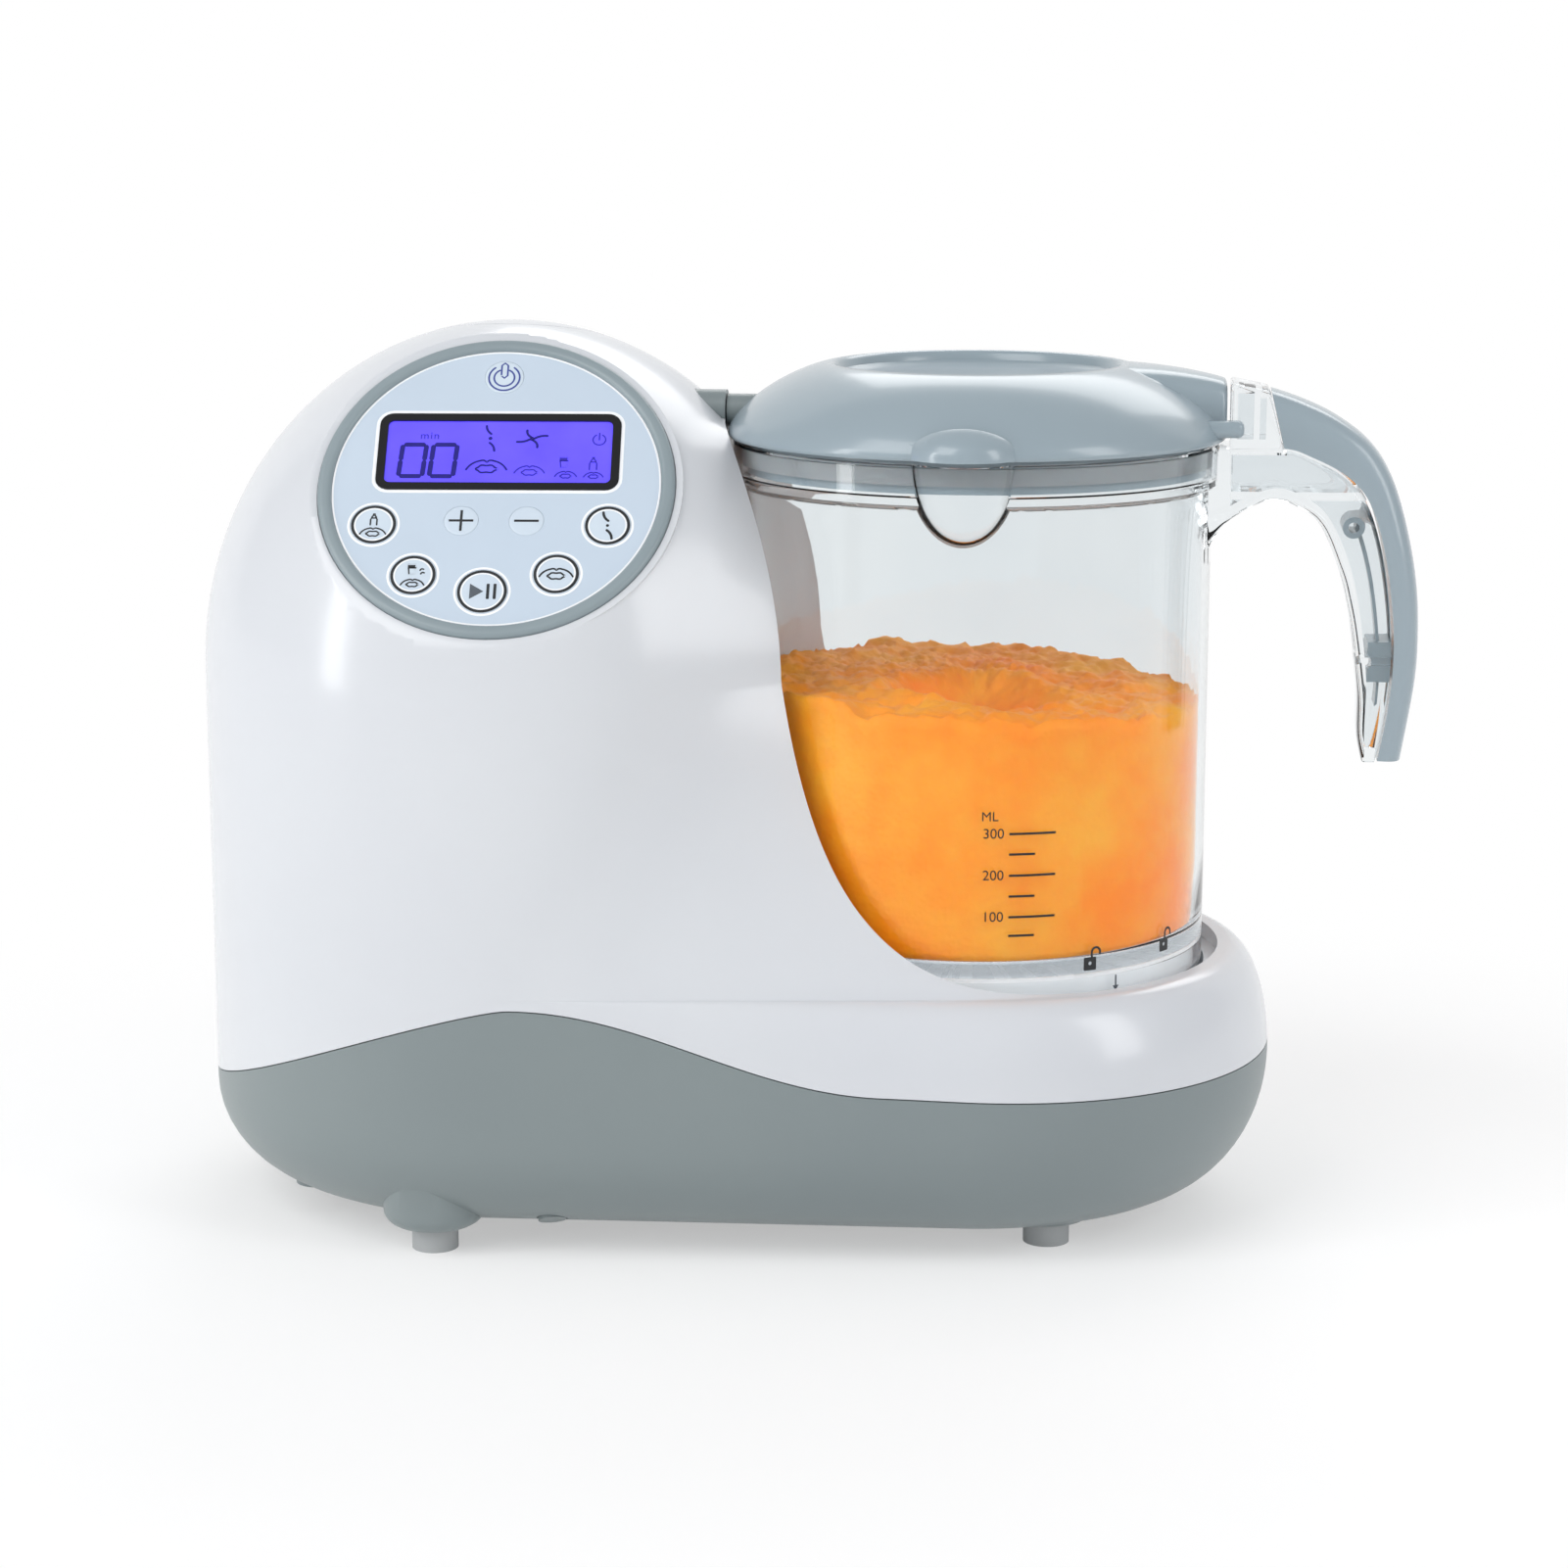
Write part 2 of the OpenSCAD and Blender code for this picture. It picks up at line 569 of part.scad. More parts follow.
module cord_gland() color([0.15, 0.15, 0.16]) difference() {
    translate([tower_x, tower_r, gland_z]) rotate([90, 0, 0]) {
        translate([0, 0, 0.6]) cylinder(r = gland_r, h = 9);
        translate([0, 0, gland_flange_at]) cylinder(r = gland_flange_r, h = 3);
    }
    translate([tower_x, tower_r + 1, gland_z]) rotate([90, 0, 0]) cylinder(r = gland_bore_r, h = 20);
}
module chassis() color([0.75, 0.77, 0.78]) {
    difference() {
        at_tower() translate([0, 0, chassis_z]) cylinder(r = chassis_r, h = chassis_t);
        at_jug() translate([0, 0, chassis_z - 1]) cylinder(r = well_wall_r + slip, h = 9);
        for (p = column_spots) translate([p[0], p[1], chassis_z - 1]) cylinder(d = screw_d + 0.1, h = 9);
        translate([tower_x - 8, -64, chassis_z - 1]) cube([16, 6, 9]);
    }
    for (a = [30, 150, 270]) translate([tank_x, tank_y, chassis_z + chassis_t]) rotate(a)
        translate([tank_r - 5, 0, 0]) cylinder(r = 4, h = tank_z - chassis_z - chassis_t);
    for (x = [-1, 1], y = [-1, 1])
        translate([board_x + x * (board_w / 2 - 3), board_y + y * (board_d / 2 - 3), chassis_z + chassis_t])
            cylinder(r = 2.4, h = board_z - chassis_z - chassis_t, $fn = 24);
}
module water_tank() color([0.8, 0.88, 0.92, 0.5]) difference() {
    union() {
        translate([tank_x, tank_y, tank_z]) cylinder(r = tank_r, h = tank_h);
        translate([tower_x, tank_lid_back, tank_wall_top - 1])
            cylinder(r = neck_r, h = neck_top_z - tank_wall_top + 1);
        translate([tower_x, tank_lid_back, neck_top_z - 2]) cylinder(r = tank_lid_r - 0.4, h = 2);
    }
    translate([tank_x, tank_y, tank_z + tank_wall])
        cylinder(r = tank_r - tank_wall, h = tank_h - 2 * tank_wall);
    translate([tower_x, tank_lid_back, tank_wall_top - 4]) cylinder(r = neck_r - tank_wall, h = 60);
    translate([tank_x + 8, tank_y, tank_z - 1]) cylinder(r = 2.5, h = 5);
}
module feed_valve() color([0.3, 0.32, 0.34]) difference() {
    translate([tank_x + 8, tank_y, boiler_top_z]) cylinder(r = 6, h = tank_z - boiler_top_z);
    translate([tank_x + 8, tank_y, boiler_top_z - 1]) cylinder(r = 2.5, h = 20);
}
module boiler() color([0.7, 0.71, 0.73]) difference() {
    translate([tank_x, tank_y, boiler_z]) cylinder(r = boiler_r, h = boiler_top_z - boiler_z);
    translate([tank_x, tank_y, boiler_z + boiler_floor])
        cylinder(r = boiler_r - boiler_wall, h = boiler_top_z - boiler_z - boiler_floor - boiler_wall);
    translate([tank_x + 8, tank_y, boiler_top_z - 4]) cylinder(r = 2.5, h = 5);
    translate([tank_x, tank_y, hose_z]) rotate([0, 90, 0]) cylinder(r = hose_r + 0.05, h = 40);
    translate([tank_x, tank_y, boiler_z + 4]) rotate_extrude() translate([boiler_r - 7, 0])
        circle(r = heater_r + 0.05);
}
module heater_ring() color([0.35, 0.35, 0.36])
    translate([tank_x, tank_y, boiler_z + 4]) rotate_extrude() translate([boiler_r - 7, 0])
        circle(r = heater_r);
module thermostat() color([0.85, 0.82, 0.7]) translate([tank_x - 12, tank_y, boiler_top_z]) {
    cylinder(r = 6, h = 4);
    for (y = [-1, 1]) translate([-1, y * 3 - 0.4, 3.9]) cube([3, 0.8, 3.4]);
}
module steam_hose() color([0.85, 0.85, 0.83]) translate([tower_x, 0, 0])
    sweep(curve(hose_route, 3), hose_r, 10);
// A round hose through a list of points, with one ring of corners at each.
module sweep(path, r, sides) {
    k = len(path);
    dirs = [for (i = [0:k - 1]) let (d = path[min(k - 1, i + 1)] - path[max(0, i - 1)]) d / norm(d)];
    up = [0.3, 1, 0.1];
    pts = [for (i = [0:k - 1]) let (u = cross(dirs[i], up), v = u / norm(u), w = cross(dirs[i], v))
        for (j = [0:sides - 1]) path[i] + r * (cos(360 * j / sides) * v + sin(360 * j / sides) * w)];
    walls = [for (i = [0:k - 2], j = [0:sides - 1]) let (p = i * sides + j, q = i * sides + (j + 1) % sides)
        each [[p, p + sides, q], [q, p + sides, q + sides]]];
    polyhedron(pts, concat(walls,
        [[for (j = [0:sides - 1]) j]], [[for (j = [sides - 1:-1:0]) (k - 1) * sides + j]]));
}
module steam_nozzle() color([0.45, 0.48, 0.5]) difference() {
    translate([tower_x + nozzle_in, 0, nozzle_z]) rotate([0, 90, 0])
        cylinder(r = nozzle_r, h = axis_gap - nozzle_in - cradle_r + 0.1);
    translate([tower_x + nozzle_in - 1, 0, nozzle_z]) rotate([0, 90, 0])
        cylinder(r = hose_r + 0.05, h = 5);
    translate([tower_x + nozzle_in - 1, 0, nozzle_z]) rotate([0, 90, 0]) cylinder(r = 2.4, h = 60);
}
module power_board() color([0.12, 0.4, 0.2]) translate([board_x, board_y, board_z]) {
    translate([-board_w / 2, -board_d / 2, 0]) cube([board_w, board_d, board_t]);
    translate([-26, -9, board_t]) cube([22, 18, 17]);
    translate([4, -12, board_t]) cube([14, 10, 12]);
    translate([24, 6, board_t]) cylinder(r = 5.5, h = 16);
    translate([10, 6, board_t]) cylinder(r = 4, h = 12);
}

// ---- control panel ----
module panel_bezel() color([0.54, 0.59, 0.61]) on_panel() difference() {
    translate([0, 0, -pocket_h]) cylinder(r = panel_d / 2, h = pocket_h + 1.2);
    translate([0, 0, -2.5]) cylinder(r = panel_d / 2 - ring_w, h = 9);
    translate([0, 0, -9]) cylinder(r = panel_hole_r + 0.3, h = 12);
}
module panel_overlay() color([0.78, 0.84, 0.89]) on_panel() difference() {
    translate([0, 0, -2.5]) cylinder(r = panel_d / 2 - ring_w - 0.05, h = 2.8);
    for (k = key_spots) translate([k[1], k[2], -4]) cylinder(d = k[3] + 2 * key_fit, h = 9);
    translate([-lcd_w / 2 - 2, lcd_y - lcd_h / 2 - 2, -4]) cube([lcd_w + 4, lcd_h + 4, 9]);
}
module lcd_frame() color([0.05, 0.05, 0.06]) on_panel() translate([0, lcd_y, -2.5]) difference() {
    translate([-lcd_w / 2 - 1.95, -lcd_h / 2 - 1.95, 0]) cube([lcd_w + 3.9, lcd_h + 3.9, 3.1]);
    translate([-lcd_w / 2, -lcd_h / 2, -1]) cube([lcd_w, lcd_h, 9]);
}
module lcd_lens() color([0.42, 0.36, 0.95]) on_panel() translate([0, lcd_y, -2.5])
    translate([-lcd_w / 2 + 0.05, -lcd_h / 2 + 0.05, 0]) cube([lcd_w - 0.1, lcd_h - 0.1, 2.7]);
module lcd_module() color([0.1, 0.12, 0.12]) on_panel() translate([0, lcd_y, -pocket_h - shell_wall])
    translate([-lcd_w / 2 - 1, -lcd_h / 2 - 1, 0]) cube([lcd_w + 2, lcd_h + 2, pocket_h + shell_wall - 2.5]);
module key_mat() color([0.6, 0.6, 0.62]) on_panel() difference() {
    translate([0, 0, -pocket_h - shell_wall])
        cylinder(r = panel_hole_r - 1.5, h = pocket_h + shell_wall - key_flange_z - key_travel - 0.3);
    translate([-lcd_w / 2 - 1.5, lcd_y - lcd_h / 2 - 1.5, -12]) cube([lcd_w + 3, lcd_h + 3, 12]);
}
module control_board() color([0.1, 0.35, 0.2]) on_panel() difference() {
    translate([0, 0, -pocket_h - shell_wall - 1.6]) cylinder(r = panel_hole_r + 3, h = 1.6);
    for (a = [45:90:315]) rotate(a) translate([panel_hole_r + 1.6, 0, -12])
        cylinder(r = 0.9, h = 9, $fn = 16);
}
module panel_screw_set() on_panel() for (a = [45:90:315]) rotate(a)
    translate([panel_hole_r + 1.6, 0, -pocket_h - shell_wall - 1.6]) {
        translate([0, 0, -1.2]) cylinder(r = 1.5, h = 1.2, $fn = 24);
        cylinder(r = 0.8, h = 3.6, $fn = 16);
    }
module ribbon_cable() color([0.75, 0.75, 0.78]) {
    // Upper end just under the control board, measured in the plane through the tower's axis.
    t = -0.57 * panel_hole_r;
    u = pocket_h + shell_wall + 2.3;
    top = [-panel_front + t * sin(panel_lean) + u * cos(panel_lean),
        panel_z + t * cos(panel_lean) - u * sin(panel_lean)];
    translate([tower_x + 6, 0, 0]) rotate([90, 0, -90]) linear_extrude(12)
        polygon([for (p = [[-50, board_z + board_t], [-56, 110], top, top + [0.9, 0.4],
            [-55.2, 110], [-49.2, board_z + board_t]]) [-p[0], p[1]]]);
}
module key(i) on_panel() translate([key_spots[i][1], key_spots[i][2], 0]) {
    translate([0, 0, 0.1 - key_flange_z]) cylinder(d = key_spots[i][3], h = key_flange_z + 0.9);
    translate([0, 0, -key_flange_z]) cylinder(d = key_spots[i][3] + 1.5, h = 0.9);
}
module power_key() color([0.8, 0.86, 0.9]) key(0);
module plus_key() color([0.8, 0.86, 0.9]) key(1);
module minus_key() color([0.8, 0.86, 0.9]) key(2);
module sterilise_key() color([0.8, 0.86, 0.9]) key(3);
module blend_key() color([0.8, 0.86, 0.9]) key(4);
module warm_key() color([0.8, 0.86, 0.9]) key(5);
module steam_key() color([0.8, 0.86, 0.9]) key(6);
module start_key() color([0.8, 0.86, 0.9]) key(7);

// ---- tank lid ----
function dome_arc(t, n) = [for (i = [0:n]) let (w = 20 + 70 * i / n)
    [(tower_r - t) * cos(w), dome_z + (dome_h - t) * sin(w)]];
module tank_lid() color("white") difference() {
    union() {
        difference() {
            intersection() {
                at_tower() rotate_extrude($fn = 96)
                    polygon(concat(dome_arc(0, 14), [for (i = [14:-1:0]) dome_arc(2.5, 14)[i]]));
                translate([tower_x, tank_lid_back, hinge_z - 20]) cylinder(r = tank_lid_r, h = 60);
                translate([tower_x - tower_r / 2, -tower_r / 2, hinge_z - 20])
                    cube([tower_r, tower_r / 2 + lid_trim_y, 60]);
            }
            translate([tower_x - 40, hinge_y, hinge_z]) rotate([0, 90, 0])
                cylinder(r = hinge_clear_r, h = 80);
        }
        translate([tower_x - knuckle_w / 2, 0, 0]) rotate([90, 0, 90]) linear_extrude(knuckle_w)
            polygon(arm_line);
        translate([tower_x - knuckle_w / 2, hinge_y, hinge_z]) rotate([0, 90, 0])
            cylinder(r = knuckle_r, h = knuckle_w);
    }
    translate([tower_x - 20, hinge_y, hinge_z]) rotate([0, 90, 0])
        cylinder(d = hinge_pin_d + 2 * run_fit, h = 40);
}
module tank_hinge_pin() color("silver") translate([tower_x - 14.9, hinge_y, hinge_z]) rotate([0, 90, 0])
    cylinder(d = hinge_pin_d, h = 29.8);

// ---- drive ----
module motor_can() color([0.6, 0.62, 0.64]) at_jug() difference() {
    translate([0, 0, motor_low_z]) cylinder(r = motor_r, h = motor_top_z - motor_low_z);
    translate([0, 0, motor_low_z + 2]) cylinder(r = motor_r - can_wall, h = motor_top_z - motor_low_z - 4);
    translate([0, 0, motor_low_z - 1]) cylinder(r = bearing_r, h = 40);
}
module motor_bearings() color([0.72, 0.55, 0.3]) at_jug() for (z = [motor_low_z, motor_top_z - 2])
    translate([0, 0, z]) tube(bearing_r - 0.02, shaft_d / 2 + run_fit, 2);
module motor_plate() color([0.55, 0.57, 0.6]) at_jug() difference() {
    translate([0, 0, motor_top_z]) cylinder(r = 36, h = 2);
    translate([0, 0, motor_top_z - 1]) cylinder(r = 7, h = 5);
    for (a = [45:90:315]) rotate(a) translate([29, 0, motor_top_z - 1]) cylinder(r = 1.7, h = 5, $fn = 24);
}
module motor_dampers() color([0.15, 0.15, 0.16]) at_jug() for (a = [45:90:315]) rotate(a)
    translate([29, 0, motor_top_z + 2]) tube(4, 1.7, well_under_z - motor_top_z - 2);
module inner_screws() color("silver") { motor_screw_set(); panel_screw_set(); }
module motor_screw_set() at_jug() for (a = [45:90:315]) rotate(a) translate([29, 0, motor_top_z]) {
    translate([0, 0, -2]) cylinder(r = 3, h = 2);
    translate([0, 0, -eps]) cylinder(r = 1.6, h = well_under_z + 1.8 - motor_top_z);
}
module well_seal() color([0.2, 0.2, 0.22]) at_jug() translate([0, 0, well_under_z])
    tube(11.95, shaft_d / 2 + 0.1, shell_wall);
module motor_shaft() color([0.8, 0.8, 0.82]) at_jug() translate([0, 0, motor_low_z - 1])
    cylinder(d = shaft_d, h = 45);
module armature() color([0.65, 0.4, 0.2]) at_jug() translate([0, 0, motor_low_z + 4])
    tube(17, shaft_d / 2 + 0.01, 14);
module motor_fan() color([0.25, 0.25, 0.27]) at_jug() translate([0, 0, motor_low_z + 19]) difference() {
    union() {
        cylinder(r = 8, h = 4);
        for (a = [0:45:315]) rotate(a) translate([6, -0.6, 0]) cube([14, 1.2, 4]);
    }
    translate([0, 0, -1]) cylinder(r = shaft_d / 2 + 0.01, h = 9);
}
function star(r, tooth, n) = [for (i = [0:2 * n - 1]) let (q = i % 2 == 0 ? r + tooth : r)
    q * [cos(180 * i / n), sin(180 * i / n)]];
module drive_coupling() color([0.3, 0.3, 0.32]) at_jug() translate([0, 0, dog_z]) difference() {
    linear_extrude(dog_h) polygon(star(7.4, 2, 6));
    translate([0, 0, -1]) cylinder(r = shaft_d / 2 + 0.01, h = 20);
}
module driven_dog() color([0.35, 0.35, 0.37]) at_jug() translate([0, 0, dog_z + 2]) difference() {
    cylinder(r = 11.6, h = 14);
    translate([0, 0, -1]) linear_extrude(dog_h) polygon(star(7.8, 2, 6));
    translate([0, 0, dog_h + 0.5]) cylinder(r = spindle_d / 2 + 0.01, h = 20);
}

// ---- jug ----
function mix(a, b, f) = [for (i = [0:len(a) - 1]) a[i] + (b[i] - a[i]) * f];
function curve_at(p, i, t) =
    let (n = len(p) - 1, a = p[max(0, i - 1)], b = p[i], c = p[i + 1], d = p[min(n, i + 2)])
    0.5 * (2 * b + (c - a) * t + (2 * a - 5 * b + 4 * c - d) * t * t + (3 * b - a - 3 * c + d) * t * t * t);
function curve(p, n) =
    concat([for (i = [0:len(p) - 2], k = [0:n - 1]) curve_at(p, i, k / n)], [p[len(p) - 1]]);
module handle_slab(a, b, w) {
    translate([jug_x, w / 2, 0]) rotate([90, 0, 0]) linear_extrude(w)
        polygon(concat(a, [for (i = [len(b) - 1:-1:0]) b[i]]));
}
// Half of a rounded body about Z, as deep as |h|: upwards where h > 0.
module bowl(r, h) rotate_extrude() polygon(
    concat([[0, 0]], [for (i = [0:5]) [r * cos(15 * i), h * sin(15 * i)]], [[0, h]]));
module jug() color([0.86, 0.92, 0.95, 0.45]) {
    difference() {
        union() {
            at_jug() {
                translate([0, 0, skirt_z]) cylinder(r = jug_r, h = jug_rim_z - skirt_z, $fn = 96);
                translate([0, 0, band_z]) cylinder(r = jug_r + jug_band_step, h = jug_band_h, $fn = 96);
                translate([0, spout_y, jug_rim_z]) bowl(spout_r, -spout_h);
            }
            handle_slab(curve(finger_line, 3), curve(under_line, 3), handle_w);
            handle_root();
        }
        at_jug() {
            translate([0, 0, jug_floor_z]) cylinder(r = inner_r, h = 200, $fn = 96);
            translate([0, 0, skirt_z - 1]) cylinder(r = inner_r, h = floor_under_z - skirt_z + 1, $fn = 96);
            translate([0, 0, band_z + 2]) cylinder(r = jug_r, h = 200, $fn = 96);
            translate([0, 0, skirt_z]) cylinder(r = bush_r, h = 60);
            translate([0, spout_y, jug_rim_z + 0.1]) bowl(spout_r - 1.8, 2 - spout_h);
        }
        difference() {
            handle_slab(mix(curve(finger_line, 3), curve(under_line, 3), 0.28),
                mix(curve(finger_line, 3), curve(under_line, 3), 1.05), handle_w - 2 * handle_wall);
            at_jug() translate([0, 0, skirt_z]) cylinder(r = jug_r + jug_band_step + 3, h = 200);
            translate([jug_x, -20, jug_rim_z - handle_wall - 0.4])
                cube([root_foot[0], 40, 40]);
            for (z = [138, 178]) translate([jug_x, -20, z]) cube([reach, 40, handle_wall]);
        }
    }
}
module handle_cover() color([0.58, 0.64, 0.67]) difference() {
    handle_slab([for (p = curve(under_line, 3)) p + [0.25, 0.25]], curve(outer_line, 3), handle_w);
    handle_slab([[0, root_low[1]], root_low], [[0, root_top[1]], root_top], 2 * handle_w);
}
module handle_root() intersection() {
    handle_slab(curve(under_line, 3), curve(outer_line, 3), handle_w - 1.5);
    handle_slab([[root_in, root_foot[1]], root_foot - [0.25, 0]],
        [[root_in, root_top[1]], root_top - [0.25, 0]], 2 * handle_w);
}
module jug_collar() color([0.9, 0.91, 0.92]) at_jug() translate([0, 0, floor_under_z - 6])
    tube(inner_r - 0.1, 14, 6);
module blade_bush() color([0.72, 0.55, 0.3]) at_jug() difference() {
    union() {
        translate([0, 0, floor_under_z - 4]) cylinder(r = bush_r - 0.02, h = jug_floor_t + 4);
        translate([0, 0, jug_floor_z]) cylinder(r = bush_r + 3, h = 3);
    }
    translate([0, 0, 50]) cylinder(r = spindle_d / 2 + run_fit, h = 40);
}
module bush_nut() color([0.75, 0.75, 0.77]) at_jug() translate([0, 0, floor_under_z - 4]) difference() {
    cylinder(r = bush_r + 5, h = 4, $fn = 6);
    translate([0, 0, -1]) cylinder(r = bush_r, h = 9);
}
module spindle() color([0.8, 0.8, 0.82]) at_jug() translate([0, 0, spindle_z])
    cylinder(d = spindle_d, h = hub_top_z - 2 - spindle_z);
module blade_hub() color([0.78, 0.3, 0.2]) at_jug() {
    difference() {
        union() {
            translate([0, 0, hub_low_z]) cylinder(r = hub_r, h = low_blade_z - hub_low_z);
            translate([0, 0, low_blade_z + blade_t])
                cylinder(r1 = hub_r, r2 = hub_r - 2, h = high_blade_z - low_blade_z - blade_t);
            translate([0, 0, high_blade_z + blade_t])
                cylinder(r1 = hub_r - 2, r2 = hub_r - 4, h = hub_top_z - high_blade_z - blade_t);
        }
        translate([0, 0, hub_low_z - 1]) cylinder(r = spindle_d / 2 + 0.01, h = hub_h - 1);
    }
}
module blade(z, reach_r, turn) at_jug() translate([0, 0, z]) rotate(turn) difference() {
    union() {
        cylinder(r = hub_r - 2.2, h = blade_t);
        for (a = [0, 180]) rotate(a) linear_extrude(blade_t)
            polygon([[0, -5], [reach_r * 0.6, -6], [reach_r, -1], [reach_r * 0.85, 4], [0, 5]]);
    }
    translate([0, 0, -1]) cylinder(r = spindle_d / 2 + 0.01, h = 9);
}
module lower_blade() color([0.82, 0.83, 0.85]) blade(low_blade_z, blade_reach, 20);
module upper_blade() color([0.82, 0.83, 0.85]) blade(high_blade_z, blade_reach * 0.8, 110);

// ---- lid ----
// Sloping shoulder of the lid from a radius r0 at the height z0 in to r1 at z1.
function lid_curve(r0, z0, r1, z1, n) = [for (i = [0:n])
    [r1 + (r0 - r1) * pow(cos(90 * i / n), lid_shape), z0 + (z1 - z0) * pow(sin(90 * i / n), lid_shape)]];
function lid_outside() = lid_curve(lid_r, lid_z + 1, lid_recess_r, lid_top_z, 8);
module lid_shell() color([0.58, 0.64, 0.68]) difference() {
    union() {
        at_jug() rotate_extrude($fn = 96) polygon(concat(
            [[0, lid_top_z - lid_recess_h], [lid_recess_r - 2, lid_top_z - lid_recess_h]],
            [for (i = [7:-1:0]) lid_outside()[i]],
            [[lid_r, lid_z], [lid_r - lid_wall, lid_z]],
            [for (p = lid_curve(lid_r - lid_wall, lid_z, lid_recess_r + 2, lid_top_z - lid_wall, 8))
                if (p[1] > lid_z) p],
            [[lid_recess_r, lid_top_z - lid_recess_h - lid_wall],
             [0, lid_top_z - lid_recess_h - lid_wall]]));
        lid_tongue();
        difference() {
            at_jug() translate([0, spout_y, lid_z]) bowl(spout_r + 0.6, 9);
            at_jug() translate([0, 0, lid_z - 1]) cylinder(r = lid_r - 1, h = 20);
        }
    }
    translate([jug_x - lid_r - 5, 0, nozzle_z]) rotate([0, 90, 0]) cylinder(r = 4.05, h = 15.5);
}
// Broad tongue that carries the lid's top on to the handle.
module lid_tongue() handle_slab(
    [[lid_recess_r + 1.6, lid_top_z - 0.3], [lid_r - 12.8, lid_top_z - 1.3],
     [lid_r - 3.8, lid_top_z - 3.1], [lid_r - 0.6, lid_top_z - 5.2], [lid_r - 0.2, lid_z + 7]],
    [[lid_recess_r + 3.6, lid_top_z - 3.2], [lid_r - 11.8, lid_z + 10.5], [lid_r - 2.8, lid_z + 4]],
    handle_w - 2);
module lid_skirt() color([0.5, 0.56, 0.6]) at_jug() difference() {
    union() {
        translate([0, 0, lid_z - 8]) cylinder(r = jug_r - 1.4, h = 8, $fn = 96);
        translate([0, 0, lid_z])
            cylinder(r1 = lid_r - lid_wall - 0.05, r2 = lid_r - lid_wall - 0.6, h = 1.5, $fn = 96);
    }
    translate([0, 0, lid_z - 9]) cylinder(r = jug_r - 3.2, h = 7, $fn = 96);
    for (a = [0:30:330]) rotate(a) translate([36, 0, lid_z - 9]) cylinder(r = 3, h = 20);
    translate([-jug_r + 5, 0, lid_z - 3]) cylinder(r = 2, h = 20);
}
module lid_seal() color([0.6, 0.61, 0.62]) at_jug() translate([0, 0, lid_z - 6])
    tube(jug_r - 0.2, jug_r - 1.4, 4);
module lid_tab() color([0.42, 0.45, 0.47]) difference() {
    translate([jug_x + lid_r - 11, tab_y, lid_z + 1.5]) cube([tab_len + 11, tab_w, tab_h]);
    at_jug() rotate_extrude($fn = 96)
        polygon(concat([[0, lid_top_z], [0, lid_z], [lid_r, lid_z]], lid_outside()));
}
module steam_inlet() color([0.42, 0.45, 0.47])
    translate([jug_x - cradle_r + 0.4, 0, nozzle_z]) rotate([0, 90, 0]) tube(4, 2.5, 10.2);

// ---- jug sensor ----
module jug_plunger() color([0.9, 0.9, 0.88]) at_jug() rotate(plunger_turn) translate([plunger_at, 0, 0]) {
    translate([0, 0, switch_top_z + 1.3]) cylinder(r = plunger_r, h = well_floor_z - switch_top_z - 1.3);
    translate([0, 0, well_under_z - 1.4]) cylinder(r = plunger_r + 1, h = 1.2);
}
module jug_switch() color([0.1, 0.1, 0.11]) at_jug() rotate(plunger_turn) translate([plunger_at, 0, 0]) {
    translate([-7, -6, switch_top_z - 9]) cube([11, 12, 9]);
    translate([-7, -6, switch_top_z - 1]) cube([2.5, 12, well_under_z - switch_top_z + 1]);
}
upper_shell();
lower_casing();
foot_pads();
casing_screws();
drain_plug();
cord_gland();
chassis();
water_tank();
feed_valve();
boiler();
heater_ring();
thermostat();
steam_hose();
steam_nozzle();
power_board();
panel_bezel();
panel_overlay();
lcd_frame();
lcd_lens();
lcd_module();
key_mat();
control_board();
ribbon_cable();
power_key();
plus_key();
minus_key();
sterilise_key();
blend_key();
warm_key();
steam_key();
start_key();
tank_lid();
tank_hinge_pin();
motor_can();
motor_bearings();
motor_plate();
motor_dampers();
inner_screws();
well_seal();
motor_shaft();
armature();
motor_fan();
drive_coupling();
driven_dog();
jug();
handle_cover();
jug_collar();
blade_bush();
bush_nut();
spindle();
blade_hub();
lower_blade();
upper_blade();
lid_shell();
lid_skirt();
lid_seal();
lid_tab();
steam_inlet();
jug_plunger();
jug_switch();
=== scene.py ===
import json
import math

import bpy
import bmesh
from mathutils import Matrix, Vector, noise


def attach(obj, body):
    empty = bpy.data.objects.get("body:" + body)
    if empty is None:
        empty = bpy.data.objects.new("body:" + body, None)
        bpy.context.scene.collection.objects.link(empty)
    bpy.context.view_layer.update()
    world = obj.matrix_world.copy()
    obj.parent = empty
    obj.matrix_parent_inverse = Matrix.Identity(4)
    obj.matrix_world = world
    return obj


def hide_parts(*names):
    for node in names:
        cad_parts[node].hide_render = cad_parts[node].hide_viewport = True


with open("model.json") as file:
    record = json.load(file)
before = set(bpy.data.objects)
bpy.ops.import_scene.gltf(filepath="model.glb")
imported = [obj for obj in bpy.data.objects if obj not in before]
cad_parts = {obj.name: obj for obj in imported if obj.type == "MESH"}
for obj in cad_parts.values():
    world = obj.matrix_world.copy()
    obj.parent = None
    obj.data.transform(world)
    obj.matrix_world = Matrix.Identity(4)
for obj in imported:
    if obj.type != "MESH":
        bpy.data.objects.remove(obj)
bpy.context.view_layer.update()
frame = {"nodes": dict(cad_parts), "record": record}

MM = 0.001
TAU = 2 * math.pi

